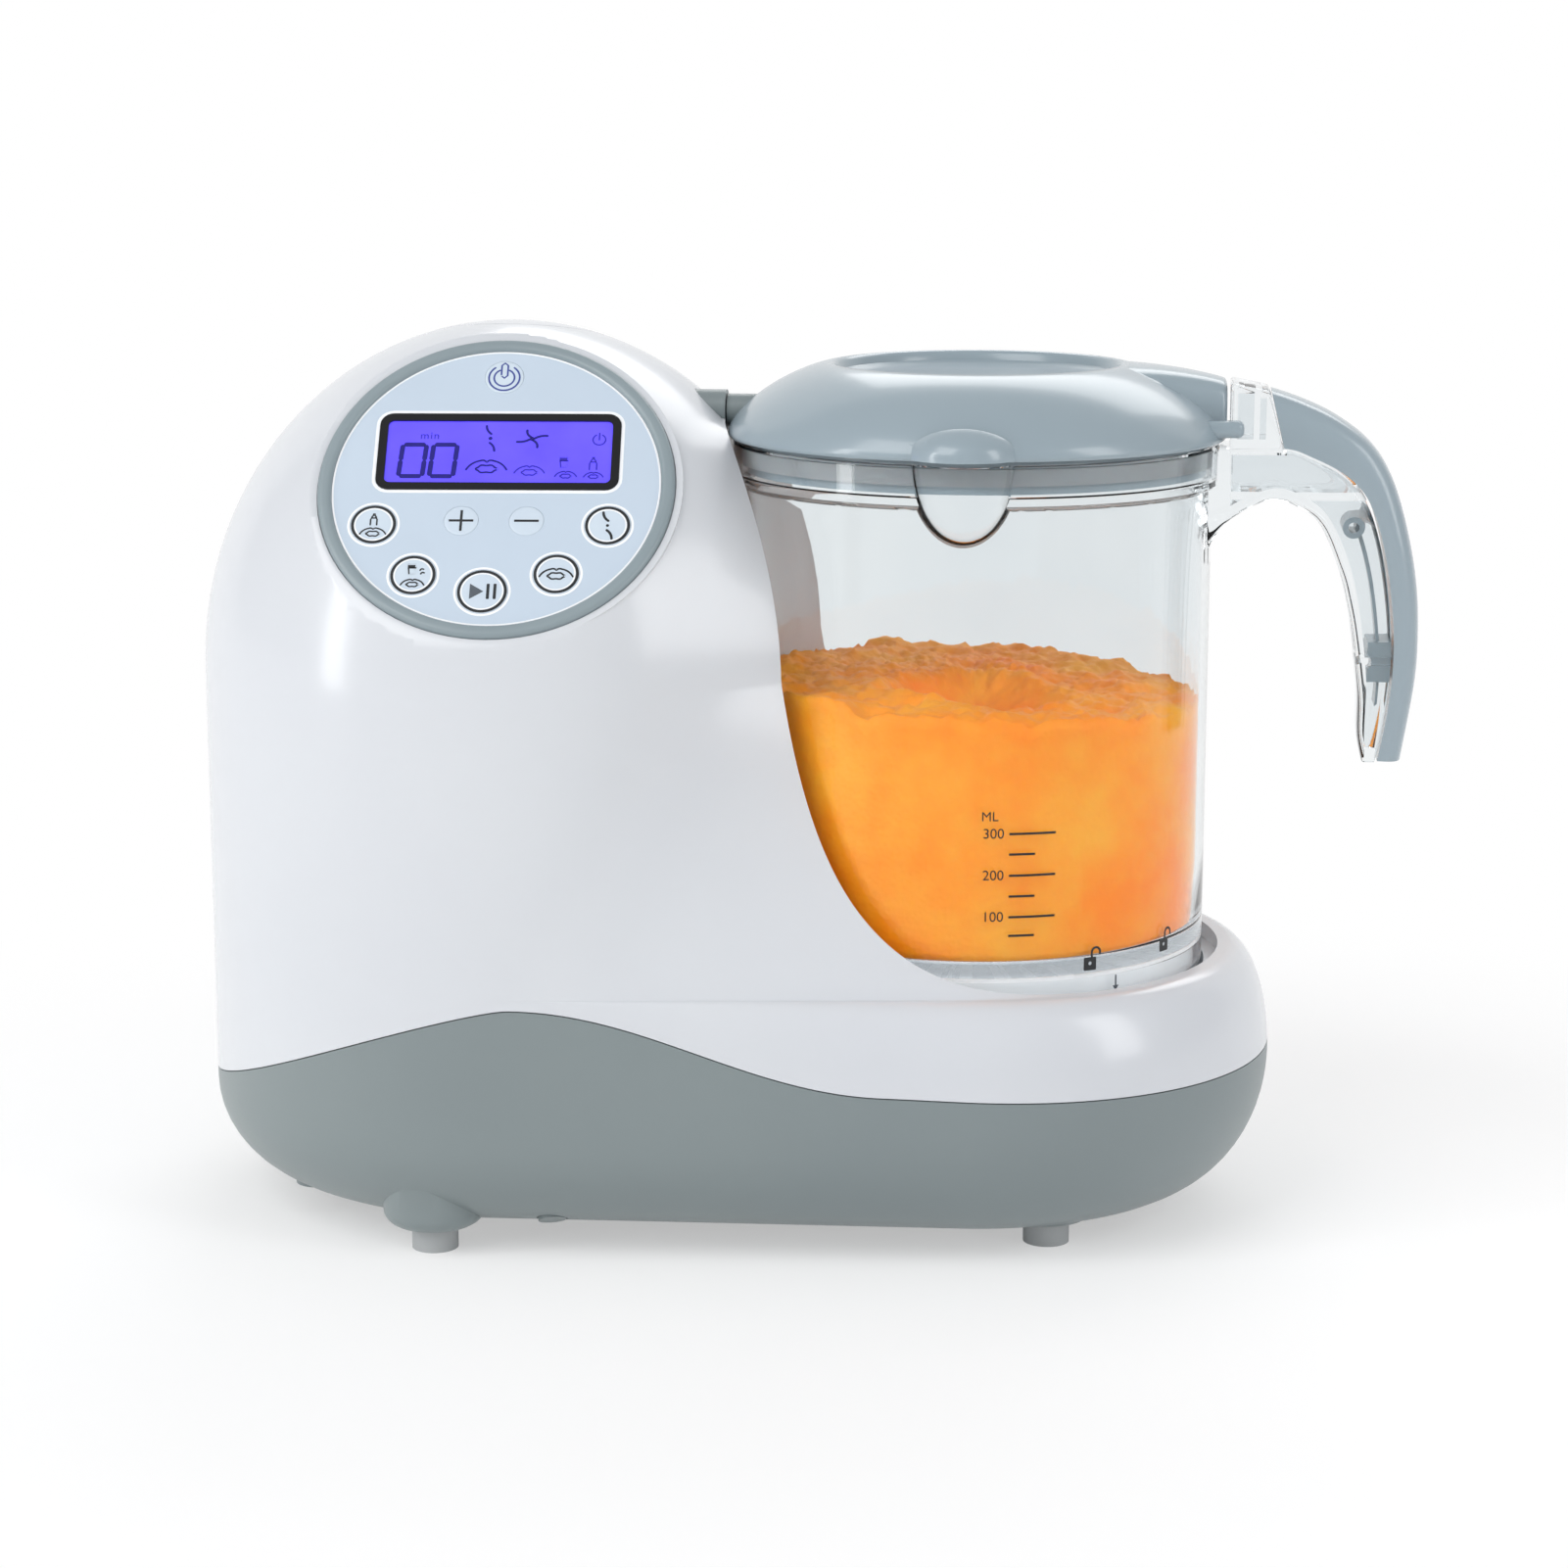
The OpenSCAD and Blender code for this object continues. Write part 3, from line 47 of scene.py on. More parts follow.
# ---- sizes, millimetres, as in the part's source
AXIS_GAP, CLEARANCE, WALL, SEAM_GAP = 115, 6, 2.5, 0.3
TOWER_R, DOME_Z, DOME_H = 77, 135, 84
FOOT_TOP, FOOT_IN = 30, 26
BASE_R, BASE_MID, RIM_Z, RIM_IN, CRADLE_R = 74.5, 40, 66, 10.5, 61.5
BLEND_TOP, NECK_R = 137, 17.7
SEAM_HIGH, SEAM_LOW, SEAM_BACK, SEAM_TOP_X, SEAM_RUN = 63.6, 44.6, 31, -105, 90
WELL_Z, WELL_FIT = 46, 0.6
WELL_UNDER = WELL_Z - WALL
JUG_R, JUG_WALL, FLOOR_Z, FLOOR_T, JUG_RIM = 57.5, 2, 72, 3, 191
BAND_H, BAND_STEP, SPOUT_R, SPOUT_H = 10, 2, 13.5, 21
REACH, HANDLE_W, HANDLE_WALL = 108, 22, 2
LID_R, LID_H, LID_RECESS_R, LID_RECESS_H = 60.8, 18, 34.4, 5.2
JX = (AXIS_GAP + TOWER_R - REACH) / 2
TX = JX - AXIS_GAP
PANEL_LEAN, PANEL_TURN, PANEL_Z, PANEL_FRONT, PANEL_SIDE = 41, 4, 183.3, 46, 4.3
PR, RING_W = 84.5 / 2, 3.3
PANEL_IN = PR - RING_W
POCKET_R, POCKET_H, PANEL_HOLE_R = PR + 0.2, 4, PR - 5
FACE_UNDER = -2.5
LCD_W, LCD_H, LCD_Y, FRAME_W = 1.27 * PR, 0.422 * PR, 0.231 * PR, 1.95
FRAME_X, FRAME_Y = LCD_W / 2 + FRAME_W, LCD_H / 2 + FRAME_W
KEY_D, KEY_FIT, KEY_TOP = 10.7, 0.25, 0.42
KEYS = {name: (x * PR, y * PR, KEY_D + more) for name, x, y, more in (
    ("power_key", 0, 0.744, -1.8), ("plus_key", -0.182, -0.233, -3), ("minus_key", 0.182, -0.233, -3),
    ("sterilise_key", -0.668, -0.262, 0), ("blend_key", 0.634, -0.262, 0), ("warm_key", -0.424, -0.594, 0),
    ("steam_key", 0.366, -0.582, 0), ("start_key", -0.036, -0.698, 1),
)}
NOZZLE_Z, NOZZLE_R = 197.5, 5
TANK_LID_R, TANK_LID_BACK = 24, 17
HINGE_Y = TANK_LID_BACK + TANK_LID_R
HINGE_R, HINGE_HALF, HINGE_PLAY, HINGE_EAR, PIN_HOLE_R = 4.2, 9, 0.3, 3, 1.35
LID_TRIM_Y = HINGE_Y - 5
EDGE_Y = LID_TRIM_Y + 0.3
LID_Z = JUG_RIM + 1
LID_TOP = LID_Z + LID_H
ABOVE = 260  # higher than everything


def cosd(angle):
    return math.cos(math.radians(angle))


def sind(angle):
    return math.sin(math.radians(angle))


def dome_at(y, t):
    """The height of the dome's surface, a wall t further in, at a distance from the tower's axis."""
    return DOME_Z + (DOME_H - t) * math.sqrt(1 - (y / (TOWER_R - t)) ** 2)


HINGE_Z = dome_at(HINGE_Y, 0) - HINGE_R
HINGE_CLEAR = math.hypot(HINGE_Y - EDGE_Y, dome_at(EDGE_Y, 0) - HINGE_Z) - 0.09


# ---- colours and materials
def rgb(code):
    """A screen colour as the linear light that the shaders work in."""
    parts = [int(code[i:i + 2], 16) / 255 for i in (0, 2, 4)]
    return (*(v / 12.92 if v <= 0.04045 else ((v + 0.055) / 1.055) ** 2.4 for v in parts), 1.0)


def set_inputs(node, **values):
    """Sets inputs by name; To_Min stands for the input To Min."""
    for key, value in values.items():
        node.inputs[key.replace("_", " ")].default_value = value
    return node


def add(nt, kind, operation=None, second=None, **values):
    """A new shader node with its operation, its second input and any inputs set."""
    node = nt.nodes.new("ShaderNode" + kind)
    if operation:
        node.operation = operation
    if second is not None:
        node.inputs[1].default_value = second
    return set_inputs(node, **values)


def wire(nt, *links):
    """Each link is given as a node, its output, the next node and its input."""
    for source, output, target, into in links:
        nt.links.new(source.outputs[output], target.inputs[into])


def colour_ramp(nt, *stops):
    ramp = add(nt, "ValToRGB")
    for element, (position, colour) in zip(ramp.color_ramp.elements, stops):
        element.position = position
        element.color = rgb(colour)
    return ramp


def soft_step(nt, low, high, at_low, at_high):
    """Goes smoothly from one value to another between two distances in metres."""
    step = add(nt, "MapRange", From_Min=low, From_Max=high, To_Min=at_low, To_Max=at_high)
    step.interpolation_type = "SMOOTHSTEP"
    return step


def seen_rays(nt, path):
    """1 for what the camera sees, also through clear plastic."""
    seen = add(nt, "Math", "MAXIMUM")
    wire(nt, (path, "Is Camera Ray", seen, 0), (path, "Is Transmission Ray", seen, 1))
    return seen


def mix_in(nt, factor, shader):
    """Lays another shader over the surface, as much as the factor says."""
    mix = add(nt, "MixShader")
    wire(nt, (factor, "Value", mix, "Fac"), (nt.nodes["Principled BSDF"], "BSDF", mix, 1),
         (shader, 0, mix, 2), (mix, "Shader", nt.nodes["Material Output"], "Surface"))


def new_material(name):
    m = bpy.data.materials.new(name)
    m.use_nodes = True
    return m, m.node_tree, m.node_tree.nodes["Principled BSDF"]


def material(name, colour_a, colour_b, patch, rough, grain, bump, **fixed):
    """A surface whose colour drifts between two near shades, with fine grain in its roughness and height."""
    m, nt, bsdf = new_material(name)
    coord = add(nt, "TexCoord")
    drift = add(nt, "TexNoise", Scale=patch, Detail=3)
    ramp = colour_ramp(nt, (0.35, colour_a), (0.65, colour_b))
    fine = add(nt, "TexNoise", Scale=grain, Detail=4)
    span = add(nt, "MapRange", To_Min=rough[0], To_Max=rough[1])
    lift = add(nt, "Bump", Strength=bump, Distance=0.0002)
    wire(nt, (coord, "Object", drift, "Vector"), (coord, "Object", fine, "Vector"),
         (drift, "Fac", ramp, "Fac"), (ramp, "Color", bsdf, "Base Color"),
         (fine, "Fac", span, "Value"), (span, "Result", bsdf, "Roughness"),
         (fine, "Fac", lift, "Height"), (lift, "Normal", bsdf, "Normal"))
    set_inputs(bsdf, **fixed)
    return m


def brushed(name, colour_a, colour_b, rough, stretch=(1, 1, 30)):
    """Metal with fine scratches drawn out along one axis."""
    m = material(name, colour_a, colour_b, 40, rough, 260, 0.12, Metallic=1.0)
    nt = m.node_tree
    mapping = add(nt, "Mapping", Scale=stretch)
    coord = next(n for n in nt.nodes if n.type == "TEX_COORD")
    fine = [n for n in nt.nodes if n.type == "TEX_NOISE"][1]
    wire(nt, (coord, "Object", mapping, "Vector"), (mapping, "Vector", fine, "Vector"))
    return m


SHADOW_SHARE = 0.85  # how much lamp light clear plastic lets through
DEEPEST = 4.5  # a ray through more walls than this meets no further one


def clear(name, colour_a, colour_b, rough, through=1.0, ior=1.49):
    """Clear plastic that lets lamp light through to what is behind it."""
    m = material(name, colour_a, colour_b, 14, rough, 500, 0.015, IOR=ior, Transmission_Weight=through)
    nt = m.node_tree
    path = add(nt, "LightPath")
    gain = add(nt, "Math", "MULTIPLY", SHADOW_SHARE)
    deep = add(nt, "Math", "GREATER_THAN", DEEPEST)
    most = add(nt, "Math", "MAXIMUM")
    wire(nt, (path, "Is Shadow Ray", gain, 0), (path, "Transmission Depth", deep, 0),
         (gain, "Value", most, 0), (deep, "Value", most, 1))
    mix_in(nt, most, add(nt, "BsdfTransparent"))
    return m


MAT = {
    "white_plastic": material("shell_white", "d3d6da", "cfd2d7", 9, (0.2, 0.27), 1400, 0.02,
                              Coat_Weight=0.25, Coat_Roughness=0.12),
    "grey_plastic": material("casing_grey", "828c8d", "7e888a", 9, (0.34, 0.42), 1800, 0.05),
    "lid_plastic": material("lid_grey_blue", "96a4ac", "91a0a8", 10, (0.2, 0.27), 1400, 0.02,
                            Coat_Weight=0.25, Coat_Roughness=0.1),
    "clear_plastic": clear("clear_copolymer", "f1f4f5", "ebeff1", (0.01, 0.03), ior=1.34),
    "tank_plastic": clear("tank_translucent", "dbe8ee", "d0e0e8", (0.18, 0.26), 0.8),
    "panel_blue": material("panel_film", "c2d0de", "bfcddb", 30, (0.3, 0.38), 2600, 0.06),
    "ring_grey": material("ring_plastic", "8b989d", "869398", 20, (0.28, 0.36), 1500, 0.03),
    "black_plastic": material("black_frame", "08080b", "0c0c10", 60, (0.12, 0.2), 1500, 0.02),
    "dark_plastic": material("dark_moulding", "2a2c2e", "313437", 40, (0.4, 0.5), 900, 0.1),
    "frame_plastic": material("inner_frame", "c4c7c9", "b9bcbf", 30, (0.4, 0.5), 900, 0.1),
    "key_plastic": material("key_film", "ccd9e4", "c7d4e1", 80, (0.3, 0.38), 2600, 0.06),
    "foot_rubber": material("foot_rubber", "b4b7b8", "abaeaf", 70, (0.6, 0.75), 1100, 0.3),
    "silicone": material("silicone", "9b9fa2", "93979a", 60, (0.45, 0.55), 800, 0.1,
                         Subsurface_Weight=0.1, Subsurface_Scale=0.003),
    "steel": brushed("steel", "c8cacc", "b9bbbe", (0.18, 0.32)),
    "aluminium": brushed("cast_aluminium", "b4b6b8", "a2a5a8", (0.35, 0.55), (1, 1, 1)),
    "bronze": brushed("sintered_bronze", "b58a4c", "9c7439", (0.3, 0.5), (1, 1, 1)),
    "board_green": material("board_green", "12532a", "0f4824", 120, (0.3, 0.4), 700, 0.1),
    "hub_red": material("hub_red", "b9412c", "a63624", 50, (0.25, 0.35), 700, 0.05),
}


def screen_material():
    """The lit violet screen: its colour drifts a little between two shades, and it is lit from behind."""
    m = material("screen_violet", "5c4cfa", "5443ee", 60, (0.08, 0.12), 2000, 0.01,
                 Coat_Weight=0.6, Coat_Roughness=0.05, Emission_Strength=0.45)
    nt = m.node_tree
    ramp = next(n for n in nt.nodes if n.type == "VALTORGB")
    wire(nt, (ramp, "Color", nt.nodes["Principled BSDF"], "Emission Color"))
    return m


def ink(name, colour_a, colour_b, patch=400, rough=(0.4, 0.5), bump=0.05):
    return material(name, colour_a, colour_b, patch, rough, 3000, bump)


MAT["screen_violet"] = screen_material()
INK = ink("ink_black", "15181c", "1b1f23")
INK_GREY = ink("ink_grey", "4b535b", "535b63")
INK_WHITE = ink("ink_white", "f7f9fb", "f2f4f7")
INK_INDIGO = ink("ink_indigo", "2f3f8c", "364693")
SEGMENT = ink("segment_indigo", "140c78", "190f80", 500, (0.2, 0.3), 0.02)
SEGMENT_SOFT = ink("segment_soft", "2b20a8", "3024b0", 500, (0.2, 0.3), 0.02)


# ---- mesh helpers
def place(name, data):
    ob = bpy.data.objects.new(name, data)
    bpy.context.scene.collection.objects.link(ob)
    return ob


def shift(x, y, z):
    return Matrix.Translation((x * MM, y * MM, z * MM))


def spin(angle, axis):
    return Matrix.Rotation(math.radians(angle), 4, axis)


def moved(ob, matrix):
    ob.data.transform(matrix)
    return ob


def cleaned(me):
    """Joins points that meet and turns the faces outwards."""
    bm = bmesh.new()
    bm.from_mesh(me)
    bmesh.ops.remove_doubles(bm, verts=bm.verts, dist=1e-7)
    bmesh.ops.recalc_face_normals(bm, faces=bm.faces)
    bm.to_mesh(me)
    bm.free()
    return me


def as_mesh(ob):
    """A new mesh of the object with its modifiers applied."""
    bpy.context.view_layer.update()
    return bpy.data.meshes.new_from_object(ob.evaluated_get(bpy.context.evaluated_depsgraph_get()))


def merged(name, meshes):
    """One mesh from several, which are used up."""
    bm = bmesh.new()
    for part in meshes:
        bm.from_mesh(part)
        bpy.data.meshes.remove(part)
    me = bpy.data.meshes.new(name)
    bm.to_mesh(me)
    bm.free()
    return me


def solid(name, verts, faces):
    me = bpy.data.meshes.new(name)
    me.from_pydata([(x * MM, y * MM, z * MM) for x, y, z in verts], [], faces)
    me.update()
    return place(name, cleaned(me))


def prism(name, line, low, high, along_x=False):
    """An outline of (x, z) drawn out along Y, or one of (y, z) drawn out along X."""
    return rings_solid(name, [[(w, p, z) if along_x else (p, w, z) for p, z in line] for w in (low, high)])


def rings_solid(name, rings):
    n, end = len(rings[0]), len(rings) * len(rings[0])
    faces = [tuple(range(n - 1, -1, -1)), tuple(range(end - n, end))]
    for j in range(0, end - n, n):
        faces += [(j + i, j + (i + 1) % n, j + n + (i + 1) % n, j + n + i) for i in range(n)]
    return solid(name, [p for r in rings for p in r], faces)


def lathe(name, profile, centre=(0, 0), n=160):
    """A closed outline of (radius, height) turned round a vertical axis, where its points meet."""
    verts, faces, k = [], [], len(profile)
    for i in range(n):
        c, s = math.cos(TAU * i / n), math.sin(TAU * i / n)
        verts += [(centre[0] + r * c, centre[1] + r * s, z) for r, z in profile]
        a, b = i * k, (i + 1) % n * k
        faces += [(a + j, b + j, b + (j + 1) % k, a + (j + 1) % k) for j in range(k)]
    return solid(name, verts, faces)


def drum(r, z0, z1, centre=(0, 0), n=160):
    return lathe("cut", [(0, z0), (r, z0), (r, z1), (0, z1)], centre, n)


def block(x0, y0, z0, x1, y1, z1):
    return prism("cut", [(x0, z0), (x1, z0), (x1, z1), (x0, z1)], y0, y1)


def bake(ob):
    """Applies the object's modifiers to its mesh."""
    me = as_mesh(ob)
    ob.modifiers.clear()
    old, ob.data = ob.data, me
    bpy.data.meshes.remove(old)
    return ob


def combine(ob, how, others):
    for other in others:
        mod = ob.modifiers.new("combine", "BOOLEAN")
        mod.operation = how
        mod.object = other
        mod.solver = "MANIFOLD"
        bake(ob)
        bpy.data.objects.remove(other)
    return ob


def cut(ob, *others):
    return combine(ob, "DIFFERENCE", others)


def join(ob, *others):
    return combine(ob, "UNION", others)


def keep_inside(ob, other):
    return combine(ob, "INTERSECT", [other])


def rounded(ob, width, segments):
    mod = ob.modifiers.new("round", "BEVEL")
    mod.width = width * MM
    mod.segments = segments
    mod.limit_method = "ANGLE"
    mod.angle_limit = math.radians(35)
    mod.use_clamp_overlap = True
    return bake(ob)


def smooth(ob, angle):
    for p in ob.data.polygons:
        p.use_smooth = True
    ob.data.set_sharp_from_angle(angle=math.radians(angle))


def paint(ob, mat):
    ob.data.materials.clear()
    ob.data.materials.append(mat)


def finish(ob, name, body, mat, stands_for=(), angle=30):
    """Gives a piece its name, shading and material, hangs it on the body it rides on, and hides the nodes it
    stands for.
    """
    ob.name = ob.data.name = name
    smooth(ob, angle)
    paint(ob, mat)
    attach(ob, body)
    if stands_for:
        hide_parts(*stands_for)


def finish_part(ob, name, body, slot, stands_for, angle=30):
    finish(ob, name, body, MAT[slot], stands_for, angle)


AT_JUG = (JX, 0)
AT_TOWER = (TX, 0)
ON_PANEL = (shift(TX + PANEL_SIDE, -PANEL_FRONT, PANEL_Z) @ spin(PANEL_TURN, "Z")
            @ spin(90 - PANEL_LEAN, "X"))


def panel_drum(r, z0, z1, n=96):
    return moved(drum(r, z0, z1, n=n), ON_PANEL)


def cross_drum(r, x0, x1, y, z, n=64):
    """A round bar along X."""
    return moved(drum(r, x0, x1, n=n), shift(0, y, z) @ spin(90, "Y"))


def hinge_bar(r, half, n, x=TX):
    """A bar on the axis of the tank lid's hinge."""
    return cross_drum(r, x - half, x + half, HINGE_Y, HINGE_Z, n)


# ---- camera, light and floor
YAW, PITCH = math.radians(6.0), math.radians(11.5)
SENSOR, FOCAL_PX, PHOTO_PX = 36, 3700, 1601
AIM_HEIGHT, VIEW_LEFT, VIEW_BACK = 0.285, 0.0471, 0.8856
camera_data = bpy.data.cameras.new("camera")
camera_data.sensor_width = SENSOR
camera_data.lens = FOCAL_PX / PHOTO_PX * SENSOR
camera_data.clip_end = 60
camera = place("camera", camera_data)
right = Vector((math.cos(YAW), math.sin(YAW), 0))
ahead = Vector((-math.sin(YAW), math.cos(YAW), 0))
camera.location = Vector((JX * MM, 0, AIM_HEIGHT)) - VIEW_LEFT * right - VIEW_BACK * ahead
camera.rotation_euler = (math.radians(90) - PITCH, 0, YAW)

scene = bpy.context.scene
scene.camera = camera
scene.view_settings.view_transform = "Standard"
world = bpy.data.worlds.new("studio")
scene.world = world
world.use_nodes = True
sky = world.node_tree
sky.nodes.clear()
sky_mix = add(sky, "MixShader")
wire(sky, (seen_rays(sky, add(sky, "LightPath")), "Value", sky_mix, "Fac"),
     (add(sky, "Background", Color=(0.97, 0.98, 1.0, 1), Strength=0.55), "Background", sky_mix, 1),
     (add(sky, "Background", Color=(1, 1, 1, 1), Strength=1.0), "Background", sky_mix, 2),
     (sky_mix, "Shader", add(sky, "OutputWorld"), "Surface"))

for name, at, towards, width, height, power in (
    ("key_light", (-0.9, -1.1, 1.5), (0, 0, 0.1), 1.2, 1.2, 14),
    ("left_light", (-1.25, -0.75, 0.35), (-0.07, 0, 0.1), 0.22, 1.3, 6),
    ("right_light", (1.4, -0.7, 0.8), (0, 0, 0.12), 0.5, 1.2, 7),
    ("back_light", (0.3, 1.5, 1.4), (0, 0, 0.1), 1.6, 0.8, 10),
):
    light = bpy.data.lights.new(name, "AREA")
    light.shape = "RECTANGLE"
    light.size, light.size_y = width, height
    light.energy = power
    lamp = place(name, light)
    lamp.location = at
    lamp.rotation_euler = (Vector(towards) - Vector(at)).to_track_quat("-Z", "Y").to_euler()

FLOOR_HALF, FLOOR_BEND = 6.0, 2.0  # metres: half its width, and the round up to the backdrop
depth = [(-4.0, 0.0), (FLOOR_BEND, 0.0)] + [
    (FLOOR_BEND + FLOOR_BEND * sind(a), FLOOR_BEND - FLOOR_BEND * cosd(a)) for a in range(10, 91, 10)
] + [(4.0, 6.0)]
floor_mesh = bpy.data.meshes.new("floor")
floor_mesh.from_pydata([(x, y, z) for y, z in depth for x in (-FLOOR_HALF, FLOOR_HALF)], [],
                       [(2 * i, 2 * i + 1, 2 * i + 3, 2 * i + 2) for i in range(len(depth) - 1)])
floor_mesh.update()
floor = place("floor", floor_mesh)
smooth(floor, 60)


def floor_material():
    """White paper that keeps the object's shadow near it and runs out to pure white for the camera."""
    m = material("floor_paper", "ffffff", "fdfdfd", 3, (0.7, 0.8), 500, 0.02)
    nt = m.node_tree
    path = add(nt, "LightPath")
    seen = add(nt, "Math", "MAXIMUM")
    point = add(nt, "NewGeometry")
    reach = add(nt, "VectorMath", "LENGTH")
    fade = soft_step(nt, 0.16, 0.36, 0.45, 1.0)
    share = add(nt, "Math", "MULTIPLY")
    wire(nt, (seen_rays(nt, path), "Value", seen, 0), (path, "Is Glossy Ray", seen, 1),
         (point, "Position", reach, 0), (reach, "Value", fade, "Value"),
         (seen, "Value", share, 0), (fade, "Result", share, 1))
    mix_in(nt, share, add(nt, "Emission"))
    return m


paint(floor, floor_material())


# ---- the casing's surface
def arc_drop(u):
    return 1 - math.sqrt(max(0.0, 1 - u * u))


def seam_z(x):
    """The height of the joint between the casing's halves, by the distance from the jug's axis."""
    past = x - SEAM_TOP_X
    if past < 0:
        return SEAM_HIGH - (SEAM_HIGH - SEAM_BACK) * (-past / (AXIS_GAP + TOWER_R + SEAM_TOP_X)) ** 1.35
    return (SEAM_LOW + (SEAM_HIGH - SEAM_LOW) * cosd(90 * min(1, past / SEAM_RUN)) ** 2
            - 0.026 * max(0, past - SEAM_RUN))


def tower_rad(z, t):
    if z > DOME_Z:
        return (TOWER_R - t) * math.sqrt(max(0, 1 - ((z - DOME_Z) / (DOME_H - t)) ** 2))
    if z > FOOT_TOP:
        return TOWER_R - t
    return TOWER_R - t - FOOT_IN * arc_drop((FOOT_TOP - z) / (FOOT_TOP - CLEARANCE))


def base_rad(z, t):
    if z < BASE_MID:
        return BASE_R - t - FOOT_IN * arc_drop((BASE_MID - z) / (BASE_MID - CLEARANCE))
    return BASE_R - t - RIM_IN * arc_drop((z - BASE_MID) / (RIM_Z - BASE_MID))


def swoosh(z):
    """How far up the sweep from the base's rim to the tower's shoulder a height is, 0 to 1."""
    return min(1.0, max(0.0, (z - RIM_Z) / (BLEND_TOP - RIM_Z)))


def meet_x(r):
    return -(AXIS_GAP ** 2 - r ** 2 + CRADLE_R ** 2) / (2 * AXIS_GAP)


def cross_x(z):
    if z <= BLEND_TOP:
        return CRADLE_R - (CRADLE_R - meet_x(TOWER_R)) * swoosh(z) ** 0.19
    return max(-CRADLE_R, meet_x(tower_rad(z, 0)))


def second_circle(z, t):
    if z <= RIM_Z:
        return 0.0, base_rad(z, t)
    cx = cross_x(z)
    cy = math.sqrt(max(0, CRADLE_R ** 2 - cx * cx))
    side = CRADLE_R if cx > 0 else cy
    sr = math.hypot(side, NECK_R * (1 - swoosh(z)))
    sx = cx - math.sqrt(max(0, sr * sr - cy * cy))
    if sr - t > 1 and cx > -CRADLE_R + 0.5:
        return sx, sr - t
    a = max(0.5, tower_rad(z, t))
    return -AXIS_GAP + a * 0.4, a * 0.5


def circle_hit(c, x, r, ux):
    d = c - x
    q = (ux * d) ** 2 - d * d + r * r
    return -1 if q < 0 else -ux * d + math.sqrt(q)


def line_hit(c, x0, r0, x1, r1, ux, uy):
    k = (r0 - r1) / max(0.001, x1 - x0)
    if abs(k) >= 0.999:
        return -1
    f = k * ux + math.sqrt(1 - k * k) * abs(uy)
    if f <= 1e-4:
        return -1
    d = (k * (x0 - c) + r0) / f
    return d if x0 + r0 * k < c + d * ux < x1 + r1 * k else -1


def plan(z, t, n):
    a = max(0.5, tower_rad(z, t))
    px, pr = second_circle(z, t)
    c = (max(px + pr, a - AXIS_GAP) - AXIS_GAP - a) / 2
    out = []
    for i in range(n):
        w = TAU * i / n
        ux, uy = math.cos(w), math.sin(w)
        d = max(circle_hit(c, -AXIS_GAP, a, ux), circle_hit(c, px, pr, ux),
                line_hit(c, -AXIS_GAP, a, px, pr, ux, uy))
        out.append((JX + c + d * ux, d * uy, z))
    return out


def casing(name, heights, t, n):
    return rings_solid(name, [plan(z, t, n) for z in heights])


def spread(a, b, n, power=1.0):
    return [a + (b - a) * (i / n) ** power for i in range(1, n + 1)]


def foot_rise(low, n):
    """Heights up the tower's lower round, closer together near the ground."""
    return [low + (FOOT_TOP - low) * (1 - cosd(90 * i / n)) for i in range(n + 1)]


OUTER = (
    foot_rise(CLEARANCE, 12) + spread(FOOT_TOP, BASE_MID, 4)
    + [BASE_MID + (RIM_Z - BASE_MID) * sind(90 * i / 22) for i in range(1, 23)]
    + spread(RIM_Z, DOME_Z + 1, 46, 2.0) + [DOME_Z + 2.4]
    + [DOME_Z + DOME_H * sind(89.2 * i / 48) for i in range(2, 49)]
)
INNER = (
    foot_rise(CLEARANCE + WALL, 6) + spread(FOOT_TOP, BASE_MID, 2) + spread(BASE_MID, RIM_Z - 1, 4)
    + spread(RIM_Z, DOME_Z + 1, 8, 2) + [DOME_Z + (DOME_H - WALL) * sind(88.5 * i / 16) for i in range(1, 17)]
)
SIDES = 260


def seam_side(side):
    """All that lies above (1) or below (-1) the joint between the casing's halves."""
    back = -(AXIS_GAP + TOWER_R)
    xs = [back - 10 + 2 * i for i in range(151)]
    line = [(JX + x, seam_z(max(back, x)) + side * SEAM_GAP / 2) for x in xs]
    line += [(JX + xs[-1], side * 300), (JX + xs[0], side * 300)]
    return prism("cut", line, -200, 200)


def vent(x, z0, z1, r, y0, y1):
    """An upright slot cutter that runs along Y."""
    line = [(x + r * cosd(a), (z1 if a < 180 else z0) + r * sind(a)) for a in range(0, 361, 20)]
    return prism("cut", line, y0, y1)


